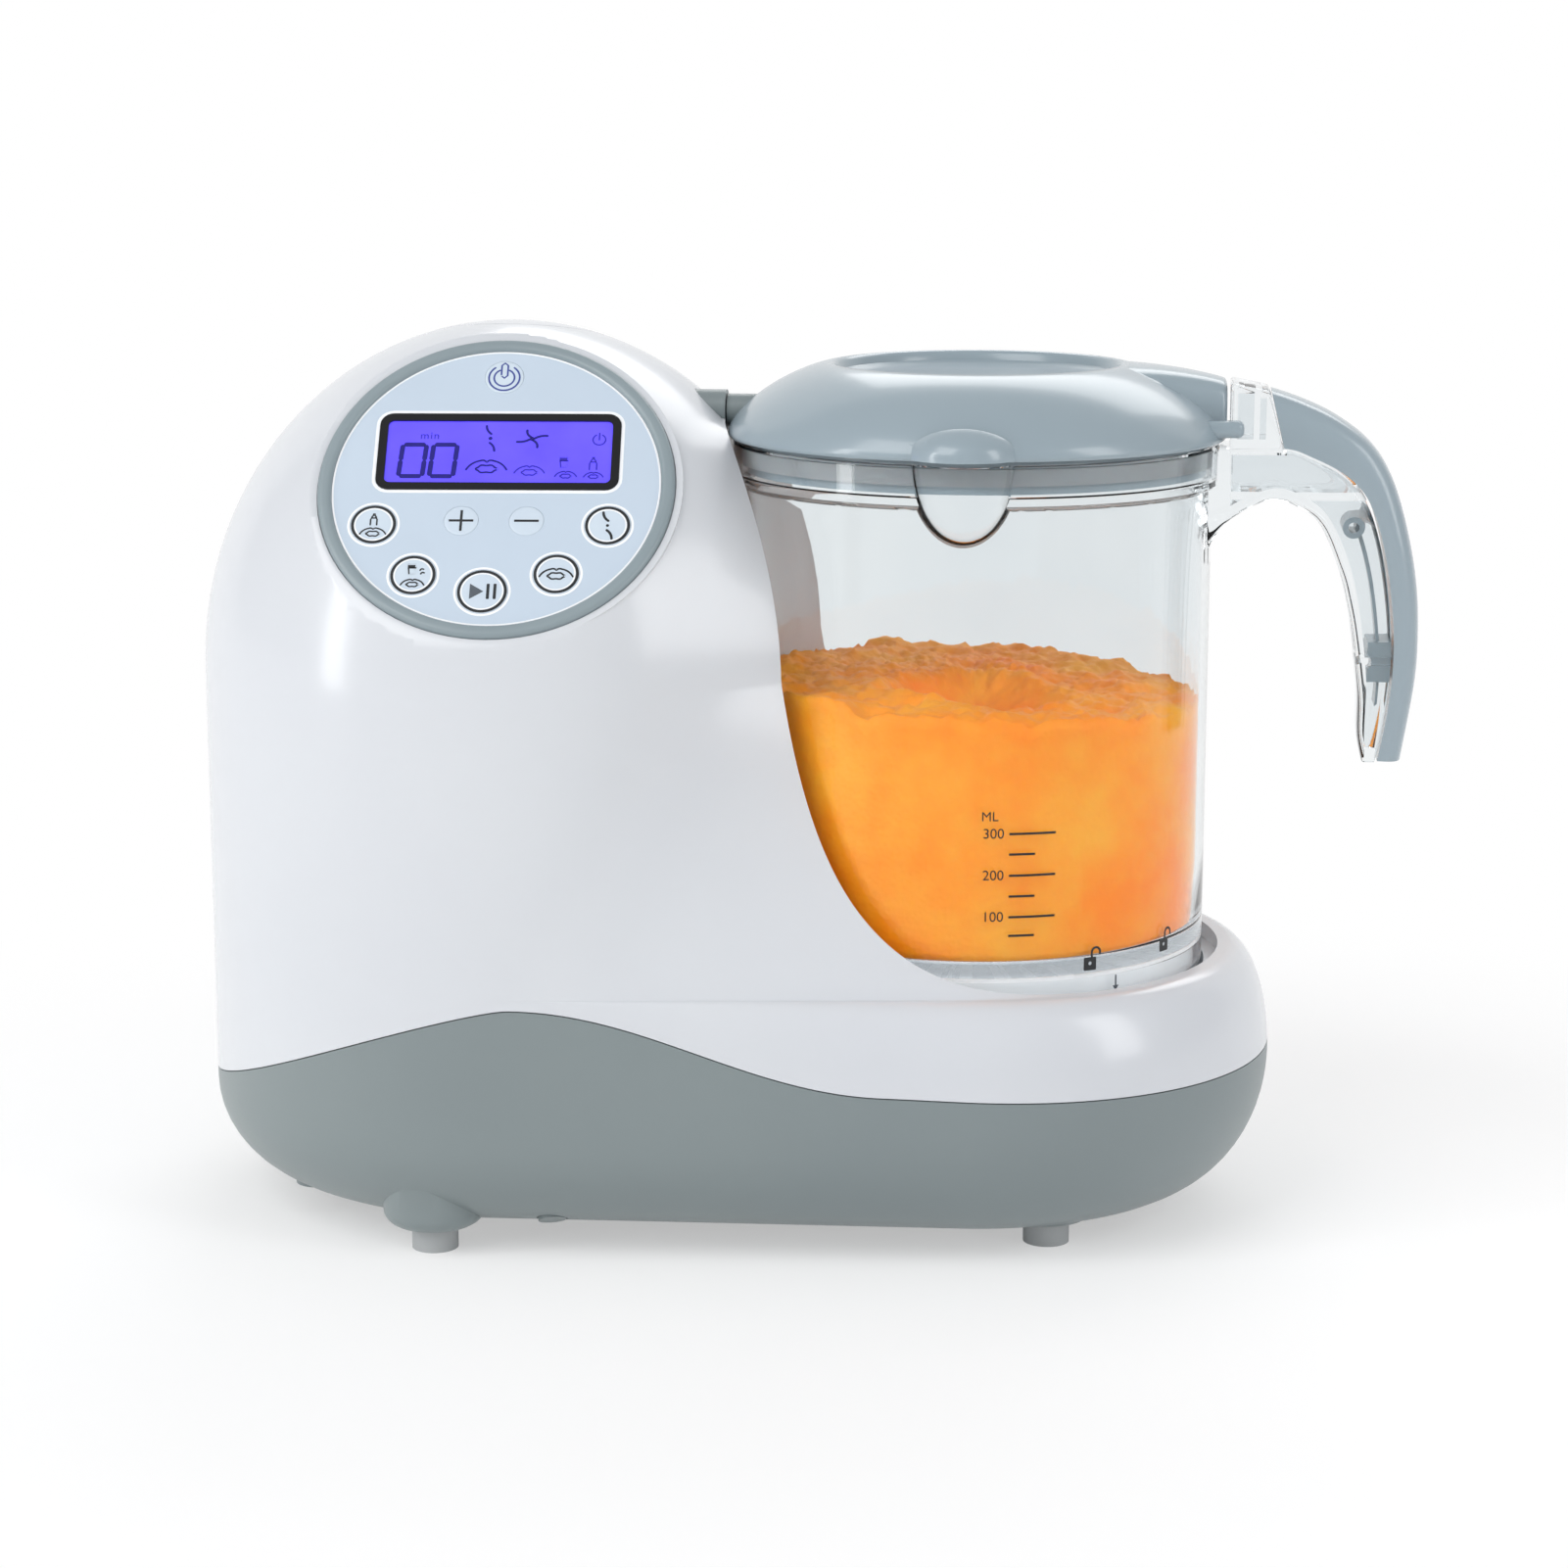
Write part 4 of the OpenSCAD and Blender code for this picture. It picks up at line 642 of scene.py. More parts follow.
def build_upper():
    shell = keep_inside(casing("upper", OUTER, 0, SIDES), seam_side(1))
    hollow = casing("cut", INNER, WALL, 128)
    cut(hollow, drum(CRADLE_R + WALL, WELL_UNDER, ABOVE, AT_JUG), panel_drum(1.56 * PR, -POCKET_H - WALL, 60))
    cut(shell, hollow)
    join(shell, drum(CRADLE_R + WALL, WELL_UNDER, RIM_Z - 2, AT_JUG, 128))
    boss = panel_drum(POCKET_R + 1.6, 0.35 - POCKET_H - WALL, 0.5, 128)
    over = 4
    dome = [((TOWER_R + over) * cosd(a), DOME_Z + (DOME_H + over) * sind(a)) for a in range(-20, 90, 2)]
    dome = [(0, DOME_Z - 30)] + dome + [(0, DOME_Z + DOME_H + over)]
    join(shell, keep_inside(boss, lathe("cut", dome, AT_TOWER, 200)))
    slot_half = HINGE_HALF + HINGE_PLAY
    for side in (-1, 1):
        join(shell, hinge_bar(3.6, HINGE_EAR, 32, TX + side * (slot_half + HINGE_EAR)))
    cut(
        shell,
        panel_drum(90, 0, 60), panel_drum(POCKET_R, -POCKET_H, 50), panel_drum(PANEL_HOLE_R, -40, 40),
        drum(JUG_R + WELL_FIT, WELL_Z, ABOVE, AT_JUG, 192), drum(CRADLE_R, 62, ABOVE, AT_JUG, 256),
        drum(12, WELL_UNDER - 1, WELL_Z + 5, AT_JUG, 64),
        cross_drum(NOZZLE_R + 0.1, TX + 30, TX + 80, 0, NOZZLE_Z),
        hinge_bar(4.5, slot_half, 48),
        block(TX - slot_half, LID_TRIM_Y - 4, HINGE_Z, TX + slot_half, HINGE_Y + 4.5, HINGE_Z + 40),
    )
    mouth = drum(TANK_LID_R + 0.3, 190, ABOVE, (TX, TANK_LID_BACK))
    join(mouth, drum(TANK_LID_R + 0.25, 189, ABOVE + 1, (TX, TANK_LID_BACK + 0.9)))
    keep_inside(mouth, block(TX - 40, -40, 180, TX + 40, EDGE_Y, 280))
    cut(shell, mouth, hinge_bar(PIN_HOLE_R, 15, 24))
    cut(shell, moved(drum(2.15, WELL_UNDER - 2, WELL_Z + 2, (55.8, 0), 32), shift(JX, 0, 0) @ spin(150, "Z")))
    for i in range(9):
        cut(shell, vent(TX - 32 + 8 * i, 88, 108, 1.4, 50, 90))
    return shell


FEET = [(x, side * y) for side in (-1, 1) for x, y in
        ((TX - 0.143 * TOWER_R, 0.78 * TOWER_R), (JX + 0.282 * BASE_R, 0.537 * BASE_R))]
COLUMNS = [(x, side * y) for side in (-1, 1) for x, y in
           ((TX - 0.59 * TOWER_R, 0.436 * TOWER_R), (TX + 0.15 * TOWER_R, 0.62 * TOWER_R))]
WELL_COLUMNS = [(JX + 0.5 * BASE_R, side * 0.36 * BASE_R) for side in (-1, 1)]
DRAIN_X, DRAIN_Z = 0.234 * TOWER_R, CLEARANCE + 3.5
DRAIN_REACH = tower_rad(DRAIN_Z, 0)
DRAIN_Y = -math.sqrt(DRAIN_REACH ** 2 - DRAIN_X ** 2)
DRAIN_DIP = math.atan2((FOOT_TOP - DRAIN_Z) / (FOOT_TOP - CLEARANCE) ** 2,
                       (DRAIN_REACH - TOWER_R + FOOT_IN) / FOOT_IN ** 2)
ON_DRAIN = (shift(TX + DRAIN_X, DRAIN_Y, DRAIN_Z) @ Matrix.Rotation(math.atan2(DRAIN_Y, DRAIN_X), 4, "Z")
            @ Matrix.Rotation(math.radians(90) + DRAIN_DIP, 4, "Y"))


def bulb(x, y):
    """The round swelling over a foot."""
    r, top = 12.4, CLEARANCE + 12
    edge = [(r * 0.58 + r * 0.42 * sind(a), CLEARANCE + 4 - 4 * cosd(a)) for a in range(0, 91, 15)]
    return lathe("bulb", [(0, CLEARANCE)] + edge + [(r, top), (0, top)], (x, y), 64)


def build_lower():
    shell = keep_inside(casing("lower", OUTER, 0, SIDES), seam_side(-1))
    cut(shell, casing("cut", INNER, WALL, 128))
    for foot in FEET:
        join(shell, bulb(*foot))
    for at, top in [(p, RIM_Z) for p in COLUMNS] + [(p, WELL_UNDER) for p in WELL_COLUMNS]:
        join(shell, drum(6, CLEARANCE + 1, top, at, 32))
        cut(shell, drum(4, -1, top - 12, at, 32), drum(1.8, -1, top + 1, at, 24))
    for foot in FEET:
        cut(shell, drum(2.85, CLEARANCE - 1, CLEARANCE + 3, foot, 32))
    cord_hole = moved(drum(6.1, 0, 30, n=48), shift(TX, TOWER_R - 20, 38) @ spin(-90, "X"))
    cut(shell, cord_hole, moved(drum(2.7, -9, 3, n=32), ON_DRAIN), moved(drum(3.8, 0, 3, n=32), ON_DRAIN))
    for i in range(9):
        slot = join(drum(1.5, -1, 13, (26, 0), 24), block(26, -1.5, -1, 36, 1.5, 13),
                    drum(1.5, -1, 13, (36, 0), 24))
        cut(shell, moved(slot, shift(JX, 0, 0) @ spin(360 * i / 9, "Z")))
    return shell


finish_part(build_upper(), "casing_top", "root", "white_plastic", ["upper_shell"], 38)
finish_part(build_lower(), "casing_bottom", "root", "grey_plastic", ["lower_casing"], 38)


# ---- the lid over the water tank
def build_tank_lid():
    def arc(t):
        return [((TOWER_R - t) * cosd(20 + 70 * i / 56), DOME_Z + (DOME_H - t) * sind(20 + 70 * i / 56))
                for i in range(56)] + [(0, DOME_Z + DOME_H - t)]

    lid = lathe("tank_lid", arc(0) + arc(WALL)[::-1], AT_TOWER, 200)
    keep_inside(lid, drum(TANK_LID_R, 190, ABOVE, (TX, TANK_LID_BACK), 128))
    keep_inside(lid, block(TX - 40, -40, 190, TX + 40, LID_TRIM_Y, 250))
    cut(lid, hinge_bar(HINGE_CLEAR, 40, 64))
    front, edge = LID_TRIM_Y - 3.5, LID_TRIM_Y + 0.5
    arm = [(front, HINGE_Z + 1.5), (front, dome_at(front, WALL) + 0.9), (edge, dome_at(edge, 0) - 0.7),
           (HINGE_Y, HINGE_Z + HINGE_R), (HINGE_Y, HINGE_Z)]
    join(lid, prism("arm", arm, TX - HINGE_HALF, TX + HINGE_HALF, True), hinge_bar(HINGE_R, HINGE_HALF, 48))
    return cut(lid, hinge_bar(PIN_HOLE_R, 20, 24))


finish_part(build_tank_lid(), "tank_flap", "tank_lid", "white_plastic", ["tank_lid"], 38)


# ---- flat printed shapes
def ring_pts(r, n=48, cx=0, cy=0):
    return [(cx + r * math.cos(TAU * i / n), cy + r * math.sin(TAU * i / n)) for i in range(n)]


def arcs(cx, cy, r, a0, a1, n=28):
    return [(cx + r * cosd(a0 + (a1 - a0) * i / n), cy + r * sind(a0 + (a1 - a0) * i / n))
            for i in range(n + 1)]


def rounded_rect(x0, y0, x1, y1, r):
    return (arcs(x1 - r, y1 - r, r, 0, 90, 6) + arcs(x0 + r, y1 - r, r, 90, 180, 6)
            + arcs(x0 + r, y0 + r, r, 180, 270, 6) + arcs(x1 - r, y0 + r, r, 270, 360, 6))


def stroke(pts, w):
    """The outline of a line of a given width with round ends."""
    def off(p, a):
        return p[0] + w / 2 * math.cos(a), p[1] + w / 2 * math.sin(a)

    def end(p, a):
        return [off(p, a - math.pi * j / 6) for j in range(1, 6)]

    before, after = pts[:1] + pts[:-1], pts[1:] + pts[-1:]
    turns = [math.atan2(b[0] - a[0], a[1] - b[1]) for a, b in zip(before, after)]
    left = [off(p, a) for p, a in zip(pts, turns)]
    other = [off(p, a + math.pi) for p, a in zip(pts, turns)]
    return [left + end(pts[-1], turns[-1]) + other[::-1] + end(pts[0], turns[0] + math.pi)]


def bow(p, q, lift, n=10):
    """A curved line from p to q that bulges to its left."""
    dx, dy = q[0] - p[0], q[1] - p[1]
    steps = [(i / n, lift * 4 * (i / n) * (1 - i / n)) for i in range(n + 1)]
    return [(p[0] + dx * t - dy * side, p[1] + dy * t + dx * side) for t, side in steps]


def curve_mesh(cu):
    """The mesh that a curve or a text makes; the curve is used up."""
    ob = place(cu.name, cu)
    me = as_mesh(ob)
    bpy.data.objects.remove(ob)
    bpy.data.curves.remove(cu)
    return me


def flat_mesh(loops, z0, z1):
    """A thin plate from outlines; an outline inside another is a hole."""
    cu = bpy.data.curves.new("plate", "CURVE")
    cu.dimensions = "2D"
    cu.fill_mode = "BOTH"
    cu.extrude = (z1 - z0) / 2 * MM
    for loop in loops:
        sp = cu.splines.new("POLY")
        sp.points.add(len(loop) - 1)
        for pt, (x, y) in zip(sp.points, loop):
            pt.co = (x * MM, y * MM, 0, 1)
        sp.use_cyclic_u = True
    me = curve_mesh(cu)
    me.transform(shift(0, 0, (z0 + z1) / 2))
    return cleaned(me)


def printed(name, groups, z0, z1, matrix, body, mat):
    """Several thin printed shapes as one piece. Each group of outlines is filled on its own."""
    me = merged(name, [flat_mesh(loops, z0, z1) for loops in groups])
    me.transform(matrix)
    finish(place(name, me), name, body, mat, ())


def letters(text, size, x, y, z, spacing=1.0):
    """Generic lettering as a mesh lying flat, in millimetres."""
    cu = bpy.data.curves.new("letters", "FONT")
    cu.body = text
    cu.size = size * MM
    cu.space_character = spacing
    cu.align_x = cu.align_y = "CENTER"
    cu.extrude = 0.03 * MM
    me = curve_mesh(cu)
    me.transform(shift(x, y, z))
    return me


# ---- control panel
def build_bezel():
    foot, top = PANEL_HOLE_R + 0.3, 1.2
    crown = [(PANEL_IN + 0.25 + (RING_W - 0.5) * i / 8, top - 0.35 * (i / 4 - 1) ** 4) for i in range(9)]
    inside = [(foot, -POCKET_H), (foot, FACE_UNDER), (PANEL_IN, FACE_UNDER), (PANEL_IN, top - 0.7)]
    return moved(lathe("bezel", inside + crown + [(PR, top - 0.7), (PR, -POCKET_H)], n=200), ON_PANEL)


def frame_rect(grow, r):
    """The outline of the screen's frame, grown on all sides."""
    x, y = FRAME_X + grow, FRAME_Y + grow
    return rounded_rect(-x, LCD_Y - y, x, LCD_Y + y, r)


finish_part(build_bezel(), "panel_ring", "root", "ring_grey", ["panel_bezel"], 40)

face = [ring_pts(PANEL_IN - 0.05, 160)] + [ring_pts(d / 2 + KEY_FIT, 48, x, y) for x, y, d in KEYS.values()]
for name, group, top, slot in (
    ("panel_face", face + [frame_rect(0.05, 3.2)], 0.3, "panel_blue"),
    ("screen_frame", [frame_rect(0, 3.2), frame_rect(-FRAME_W, 1.4)], 0.6, "black_plastic"),
    ("screen", [frame_rect(-FRAME_W - 0.05, 1.35)], 0.2, "screen_violet"),
):
    printed(name, [group], FACE_UNDER, top, ON_PANEL, "root", MAT[slot])
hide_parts("panel_overlay")
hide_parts("lcd_frame")
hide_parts("lcd_lens")

RIMMED = list(KEYS)[3:]  # all but power, plus and minus
halos = [[ring_pts(d / 2 + 0.85, 48, x, y), ring_pts(d / 2 + KEY_FIT + 0.02, 48, x, y)]
         for x, y, d in map(KEYS.get, RIMMED)]
halos.append([frame_rect(0.9, 4), frame_rect(0.07, 3.2)])
halos.append([ring_pts(PANEL_IN - 0.06, 160), ring_pts(PANEL_IN - 0.5, 160)])
printed("panel_outlines", halos, 0.29, 0.34, ON_PANEL, "root", INK_WHITE)


def build_key(x, y, d):
    stem, top = d / 2, KEY_TOP
    r, foot = stem + 0.19, stem + 0.75
    crown = [(r * cosd(a) ** 0.25 if a < 90 else 0, top - 0.14 + 0.14 * sind(a)) for a in range(0, 91, 10)]
    side = [(0, -3.5), (foot, -3.5), (foot, -2.6), (stem, -2.6), (stem, -1.0), (r, -0.8)]
    return moved(lathe("key", side + crown, (x, y), 72), ON_PANEL)


for key, spec in KEYS.items():
    finish_part(build_key(*spec), key + "_cap", key, "key_plastic", [key], 40)


def sized(paths, cx, cy, s):
    return [[(cx + s * x, cy + s * y) for x, y in line] for line in paths]


def mirrored(half):
    """Closes a shape off with its mirror image in x."""
    return half + [(-x, y) for x, y in half[::-1]]


def bottle(cx, cy, s):
    body = mirrored([(-0.75, 0), (-0.75, 1.5), (-0.55, 1.9)])
    cap = mirrored([(-0.55, 1.9), (-0.45, 2.3), (-0.2, 2.6), (-0.12, 3.1)])
    return sized((body, cap), cx, cy, s)


def tub(cx, cy, s):
    body = [(-0.8, 2.6), (0.8, 2.6), (0.8, 1.6), (0.6, 0), (-0.6, 0), (-0.8, 1.6), (-0.8, 2.6)]
    return sized((body, [(-0.8, 1.7), (0.8, 1.7)]), cx, cy, s)


def cloud(cx, cy, s):
    """A puff of steam under two arms."""
    left = bow((-1.1, 0.9), (-3.4, -0.9), -0.12)
    other = bow((1.1, 0.9), (3.4, -0.9), 0.12)
    top = bow((-1.1, 0.9), (0, 0.6), 0.2) + bow((0, 0.6), (1.1, 0.9), 0.2)
    puff = [(1.7 * cosd(a) * (1 + 0.07 * cosd(6 * a)), -0.75 + 0.75 * sind(a) * (1 + 0.12 * cosd(6 * a)))
            for a in range(0, 361, 12)]
    return sized((left, other, top, puff), cx, cy, s)


def blade_pair(cx, cy, s):
    return sized((bow((-1.0, 3.3), (0.1, 1.2), -0.12), bow((1.0, -3.3), (-0.1, -1.2), -0.12)), cx, cy, s)


def fan(cx, cy, s):
    return [[(cx + s * 1.25 * (x * cosd(a) - y * sind(a)), cy + s * 0.85 * (x * sind(a) + y * cosd(a)))
             for x, y in bow((0.6, 0), (3.4, 0), 0.12)] for a in (20, 110, 200, 290)]


def on_key(key, groups, mat=INK, name=None):
    kx, ky, _ = KEYS[key]
    printed(name or key + "_print", groups, KEY_TOP - 0.005, KEY_TOP + 0.035,
            ON_PANEL @ shift(kx, ky, 0), key, mat)


def lines(paths, w):
    return [stroke(p, w) for p in paths]


for key in RIMMED:
    kr = KEYS[key][2] / 2
    on_key(key, [[ring_pts(kr - 0.05, 64), ring_pts(kr - 0.75, 64)]], INK, key + "_rim")
    on_key(key, [[ring_pts(kr - 0.78, 64), ring_pts(kr - 1.15, 64)]], INK_WHITE, key + "_halo")
warmth = [bow((1.6, 1.3), (2.4, 1.6), 0.3), bow((1.8, 0.3), (2.6, 0.6), 0.3)]
power = arcs(0, -0.2, 3.7, 128, 412), arcs(0, -0.2, 2.45, 118, 422)
flash = [(-0.75, 0.4), (-0.75, 3.4), (0, 4.1), (0.75, 3.4), (0.75, 0.4), (0, -0.3), (-0.75, 0.4)]
minus = [rounded_rect(-2.9, -0.3, 2.9, 0.3, 0.1)]
on_key("sterilise_key", lines(bottle(0, -0.1, 1.0) + cloud(0, -1.9, 0.9), 0.38))
on_key("warm_key", lines(tub(-0.3, 0.2, 1.05) + cloud(0, -2.0, 0.8) + warmth, 0.38))
on_key("blend_key", lines(blade_pair(0, 0, 1.1), 0.62) + [[ring_pts(0.38, 24)]])
on_key("steam_key", lines(cloud(0, 0.3, 1.15), 0.44))
on_key("start_key", [[[(-2.9, 2.1), (-2.9, -2.1), (0.3, 0)]]], INK_GREY, "start_key_arrow")
on_key("start_key", [[rounded_rect(x, -2.1, x + 0.7, 2.1, 0.2)] for x in (1.0, 2.6)])
on_key("plus_key", [minus] + [[rounded_rect(-0.3, y, 0.3, y + 2.6, 0.1)] for y in (0.3, -2.9)])
on_key("minus_key", [minus])
on_key("power_key", lines([*power, flash], 0.42), INK_INDIGO)

ON_SCREEN = ON_PANEL @ shift(0, LCD_Y, 0) @ Matrix.Diagonal((0.94, 0.94, 1, 1))
BARS = (((0.14, 1), (0.86, 1)), ((0.14, 0), (0.86, 0)), ((0, 0.93), (0, 0.56)), ((0, 0.44), (0, 0.07)),
        ((1, 0.93), (1, 0.56)), ((1, 0.44), (1, 0.07)))


def digit_zero(x, y, w=6.0, h=9.6, lean=0.06):
    """The six lit bars of a nought, leaning a little."""
    return lines([[(x + w * bx + lean * h * by, y + h * by) for bx, by in bar] for bar in BARS], 1.25)


def on_screen(name, groups, mat=SEGMENT):
    printed(name, groups, 0.195, 0.24, ON_SCREEN, "root", mat)


clock = [arcs(25.2, 3.9, 1.6, 120, 420), [(25.2, 3.9), (25.2, 5.9)]]
blades = lines(blade_pair(-2.4, 4.2, 1.15), 0.6) + [[ring_pts(0.5, 16, -2.4, 4.2)]]
whirl = lines(fan(8.2, 4.1, 0.95), 0.62) + [[ring_pts(0.6, 16, 8.2, 4.1)]]
steamed = cloud(8.0, -5.3, 1.12) + cloud(17.2, -6.6, 0.8) + tub(16.6, -4.6, 1.2)
cleaning = cloud(24.2, -6.8, 0.72) + bottle(24.0, -5.2, 1.2)
on_screen("screen_digits", digit_zero(-25.0, -7.4) + digit_zero(-17.2, -7.4))
on_screen("screen_blades", blades + whirl)
on_screen("screen_steam", lines(cloud(-2.9, -4.0, 1.5), 0.5))
on_screen("screen_icons", lines(steamed + cleaning + clock, 0.36), SEGMENT_SOFT)
minutes = letters("min", 3.0, -17.8, 4.9, 0.225, 1.15)
minutes.transform(ON_SCREEN)
finish(place("screen_min", minutes), "screen_min", "root", SEGMENT_SOFT)


# ---- jug
def curve(p, n):
    """A smooth line through all the points, with n steps from each to the next."""
    out = []
    for a, b, c, d in zip(p[:1] + p, p, p[1:], p[2:] + p[-1:]):
        for t in [i / n for i in range(n)]:
            out.append(tuple(0.5 * (2 * b[k] + (c[k] - a[k]) * t
                                    + (2 * a[k] - 5 * b[k] + 4 * c[k] - d[k]) * t * t
                                    + (3 * b[k] - a[k] - 3 * c[k] + d[k]) * t ** 3) for k in range(2)))
    return out + [p[-1]]


J, R, HANDLE_LOW = JUG_R, REACH, 114.5
# the handle's lines: distance from the jug's axis, and height
FINGER = [(J - 1, 165), (J + 3.4, 172), (J + 13.5, 177.6), (J + 21.5, 175.6), (J + 26.5, 171),
          (R - 19.6, 160.5), (R - 17.4, 152), (R - 15.9, 143.5), (R - 14.4, 131), (R - 14.2, 121),
          (R - 13, HANDLE_LOW)]
UNDER = [(J - 1, JUG_RIM - 0.4), (J + 9, JUG_RIM - 0.4), (J + 17.5, JUG_RIM - 0.8), (R - 28, 188.6),
         (R - 19.5, 184.3), (R - 13.5, 178), (R - 9.6, 167), (R - 7.2, 153), (R - 6.4, 140), (R - 7.4, 127),
         (R - 9.6, HANDLE_LOW)]
OUTSIDE = [(J + 3.5, 206.4), (J + 12, 204.6), (J + 21.5, 201.5), (R - 20.5, 197.4), (R - 12.5, 191.2),
           (R - 7.2, 182.8), (R - 3.4, 171), (R - 0.85, 158), (R - 0.05, 146), (R - 0.5, 133.5),
           (R - 3.4, HANDLE_LOW)]
ROOT_FOOT, ROOT_TOP = (LID_R + 14.2, JUG_RIM - 3), (LID_R + 8.9, LID_TOP)


def root_line(z):
    """Where the clear root of the handle meets the grey cover."""
    return ROOT_FOOT[0] + (ROOT_TOP[0] - ROOT_FOOT[0]) * (z - ROOT_FOOT[1]) / (ROOT_TOP[1] - ROOT_FOOT[1])


def between(a, b, f):
    return [tuple(p[k] + (q[k] - p[k]) * f for k in range(2)) for p, q in zip(a, b)]


def slab(a, b, w):
    """A flat plate of width w between two lines given as (distance from the jug's axis, height)."""
    return prism("slab", [(JX + x, z) for x, z in a + b[::-1]], -w / 2, w / 2)


def swell(v, power):
    """A power of a sine or cosine that keeps its sign."""
    return math.copysign(abs(v) ** power, v)


def loft(name, a, b, section):
    """A bar between two lines; its section is given as (share of the way from a to b, y)."""
    return rings_solid(name, [[(JX + ax + (bx - ax) * f, y, az + (bz - az) * f) for f, y in section]
                              for (ax, az), (bx, bz) in zip(a, b)])


def fillet(r, z, bend, step):
    """The round between a floor and a wall, from the inside."""
    return [(r - bend + bend * sind(a), z + bend - bend * cosd(a)) for a in range(0, 91, step)]


def jug_body_profile():
    r, ri, foot = JUG_R, JUG_R - JUG_WALL, WELL_Z + 0.3
    under, band, wide = FLOOR_Z - FLOOR_T, JUG_RIM - BAND_H, JUG_R + BAND_STEP
    return (
        [(0, FLOOR_Z)] + fillet(ri, FLOOR_Z, 3, 15)
        + [(ri, z) for z in (90, 110, 130, 150, 162, 170, 175, 178.5)]
        + [(ri, band + 1.4), (ri + 0.3, band + 2.0), (r, band + 2.6), (r, JUG_RIM - 0.5), (r + 0.4, JUG_RIM)]
        + [(wide - 0.5, JUG_RIM), (wide, JUG_RIM - 0.5), (wide, band + 0.6), (wide - 0.4, band + 0.1)]
        + [(r + 0.3, band - 0.4), (r, band - 0.9)]
        + [(r, z) for z in (178.5, 175, 170, 162, 150, 130, 110, 90, 70)]
        + [(r, foot + 0.5), (r - 0.5, foot), (ri + 0.4, foot), (ri, foot + 0.5)]
        + [(ri, under - 1), (ri - 1, under), (0, under)]
    )


SPOUT_Y = -JUG_R + 5.5


def bowl(r, depth, top):
    prof = [(r * cosd(a), top - depth * sind(a)) for a in range(0, 90, 5)]
    return lathe("bowl", [(0, top)] + prof + [(0, top - depth)], (JX, SPOUT_Y), 96)


def outside_wall(ob):
    """Keeps only what lies outside the middle of the jug's wall."""
    step = JUG_RIM - BAND_H + 3
    return cut(ob, drum(JUG_R - 0.8, 60, step, AT_JUG, 200), drum(JUG_R + 0.6, step - 0.5, 230, AT_JUG, 200))


def build_jug():
    body = lathe("jug", jug_body_profile(), AT_JUG, 220)
    rail = curve(FINGER, 8), curve(UNDER, 8)
    turns, square = [TAU * (i + 0.5) / 40 for i in range(40)], 0.32
    handle = loft("handle", *rail, [(0.5 + 0.5 * swell(math.cos(t), square),
                                     swell(math.sin(t), square) * HANDLE_W / 2) for t in turns])
    low, near = JUG_RIM - 2, LID_R + 0.6
    root = slab([(near, low), (root_line(low) - 0.3, low)],
                [(near, 206.1), (LID_R + 5, 205.2), (root_line(204.2) - 0.3, 204.2)], HANDLE_W - 1.5)
    rounded(root, 1.0, 3)
    cut(root, block(JX + LID_R + 2.4, -7.5, JUG_RIM + 1.5, JX + LID_R + 6.2, 7.5, 203.4),
        block(JX + LID_R + 7.6, -7.5, JUG_RIM + 1.5, JX + root_line(200) - 2.2, 7.5, 202.2))
    join(handle, root)
    hollow = slab(between(*rail, 0.26), between(*rail, 1.06), HANDLE_W - 2 * HANDLE_WALL)
    cut(hollow, drum(JUG_R + BAND_STEP + 3, 60, 230, AT_JUG, 128))
    cut(hollow, block(JX, -20, JUG_RIM - HANDLE_WALL - 0.4, JX + ROOT_FOOT[0], 20, 240))
    for z in (138, 178):
        cut(hollow, block(JX, -20, z, JX + REACH, 20, z + 2))
    cut(handle, hollow)
    join(body, outside_wall(handle))
    join(body, outside_wall(bowl(SPOUT_R, SPOUT_H, JUG_RIM)))
    cut(body, moved(bowl(SPOUT_R - 1.8, SPOUT_H - 2, JUG_RIM), shift(0, 0, 0.3)))
    return cut(body, drum(8, 50, 100, AT_JUG, 48))


finish_part(build_jug(), "jug_body", "jug", "clear_plastic", ["jug"], 38)


def build_cover_clips():
    """The cover's latch, screw boss and stiffening web, seen through the clear handle."""
    low, high = curve(FINGER, 8), curve(UNDER, 8)
    inside = [i for i, (x, z) in enumerate(between(low, high, 0.6)) if x > JUG_R + 20 and 126 < z < 172]
    web = slab(*([between(low, high, f)[i] for i in inside] for f in (0.58, 0.66)), 9)
    latch = block(JX + 95.9, -6.5, 133.6, JX + 100.9, 6.5, 143.4)
    for x in (94.6, 102.6):
        cut(latch, moved(drum(2.2, -8, 8, n=32), shift(JX + x, 0, 138.5) @ spin(90, "X")))
    boss = lathe("boss", [(1.3, -6.5), (2.6, -6.5), (2.6, 6.5), (1.3, 6.5)], n=40)
    return join(web, latch, moved(boss, shift(JX + 91.6, 0, 171.2) @ spin(90, "X")))


finish_part(build_cover_clips(), "cover_clips", "jug", "lid_plastic", ())


def build_cover():
    under = [(x + 0.3, z + 0.3) for x, z in curve(UNDER, 10)]
    turns = [180 * i / 14 for i in range(15)]
    section = [(sind(t) ** 0.75, swell(cosd(t), 0.42) * HANDLE_W / 2) for t in turns]
    section += [(0, -HANDLE_W / 2 + HANDLE_W * i / 6) for i in range(1, 6)]
    front = [(JX + 40, 166), (JX + root_line(166), 166), (JX + root_line(215), 215), (JX + 40, 215)]
    return cut(loft("cover", under, curve(OUTSIDE, 10), section), prism("cut", front, -20, 20))


finish_part(build_cover(), "handle_grip", "jug", "lid_plastic", ["handle_cover"], 40)


# ---- lid
def lid_curve(r0, z0, r1, z1, steps=22):
    return [(r1 + (r0 - r1) * cosd(90 * i / steps) ** 1.35, z0 + (z1 - z0) * sind(90 * i / steps) ** 1.35)
            for i in range(steps)]


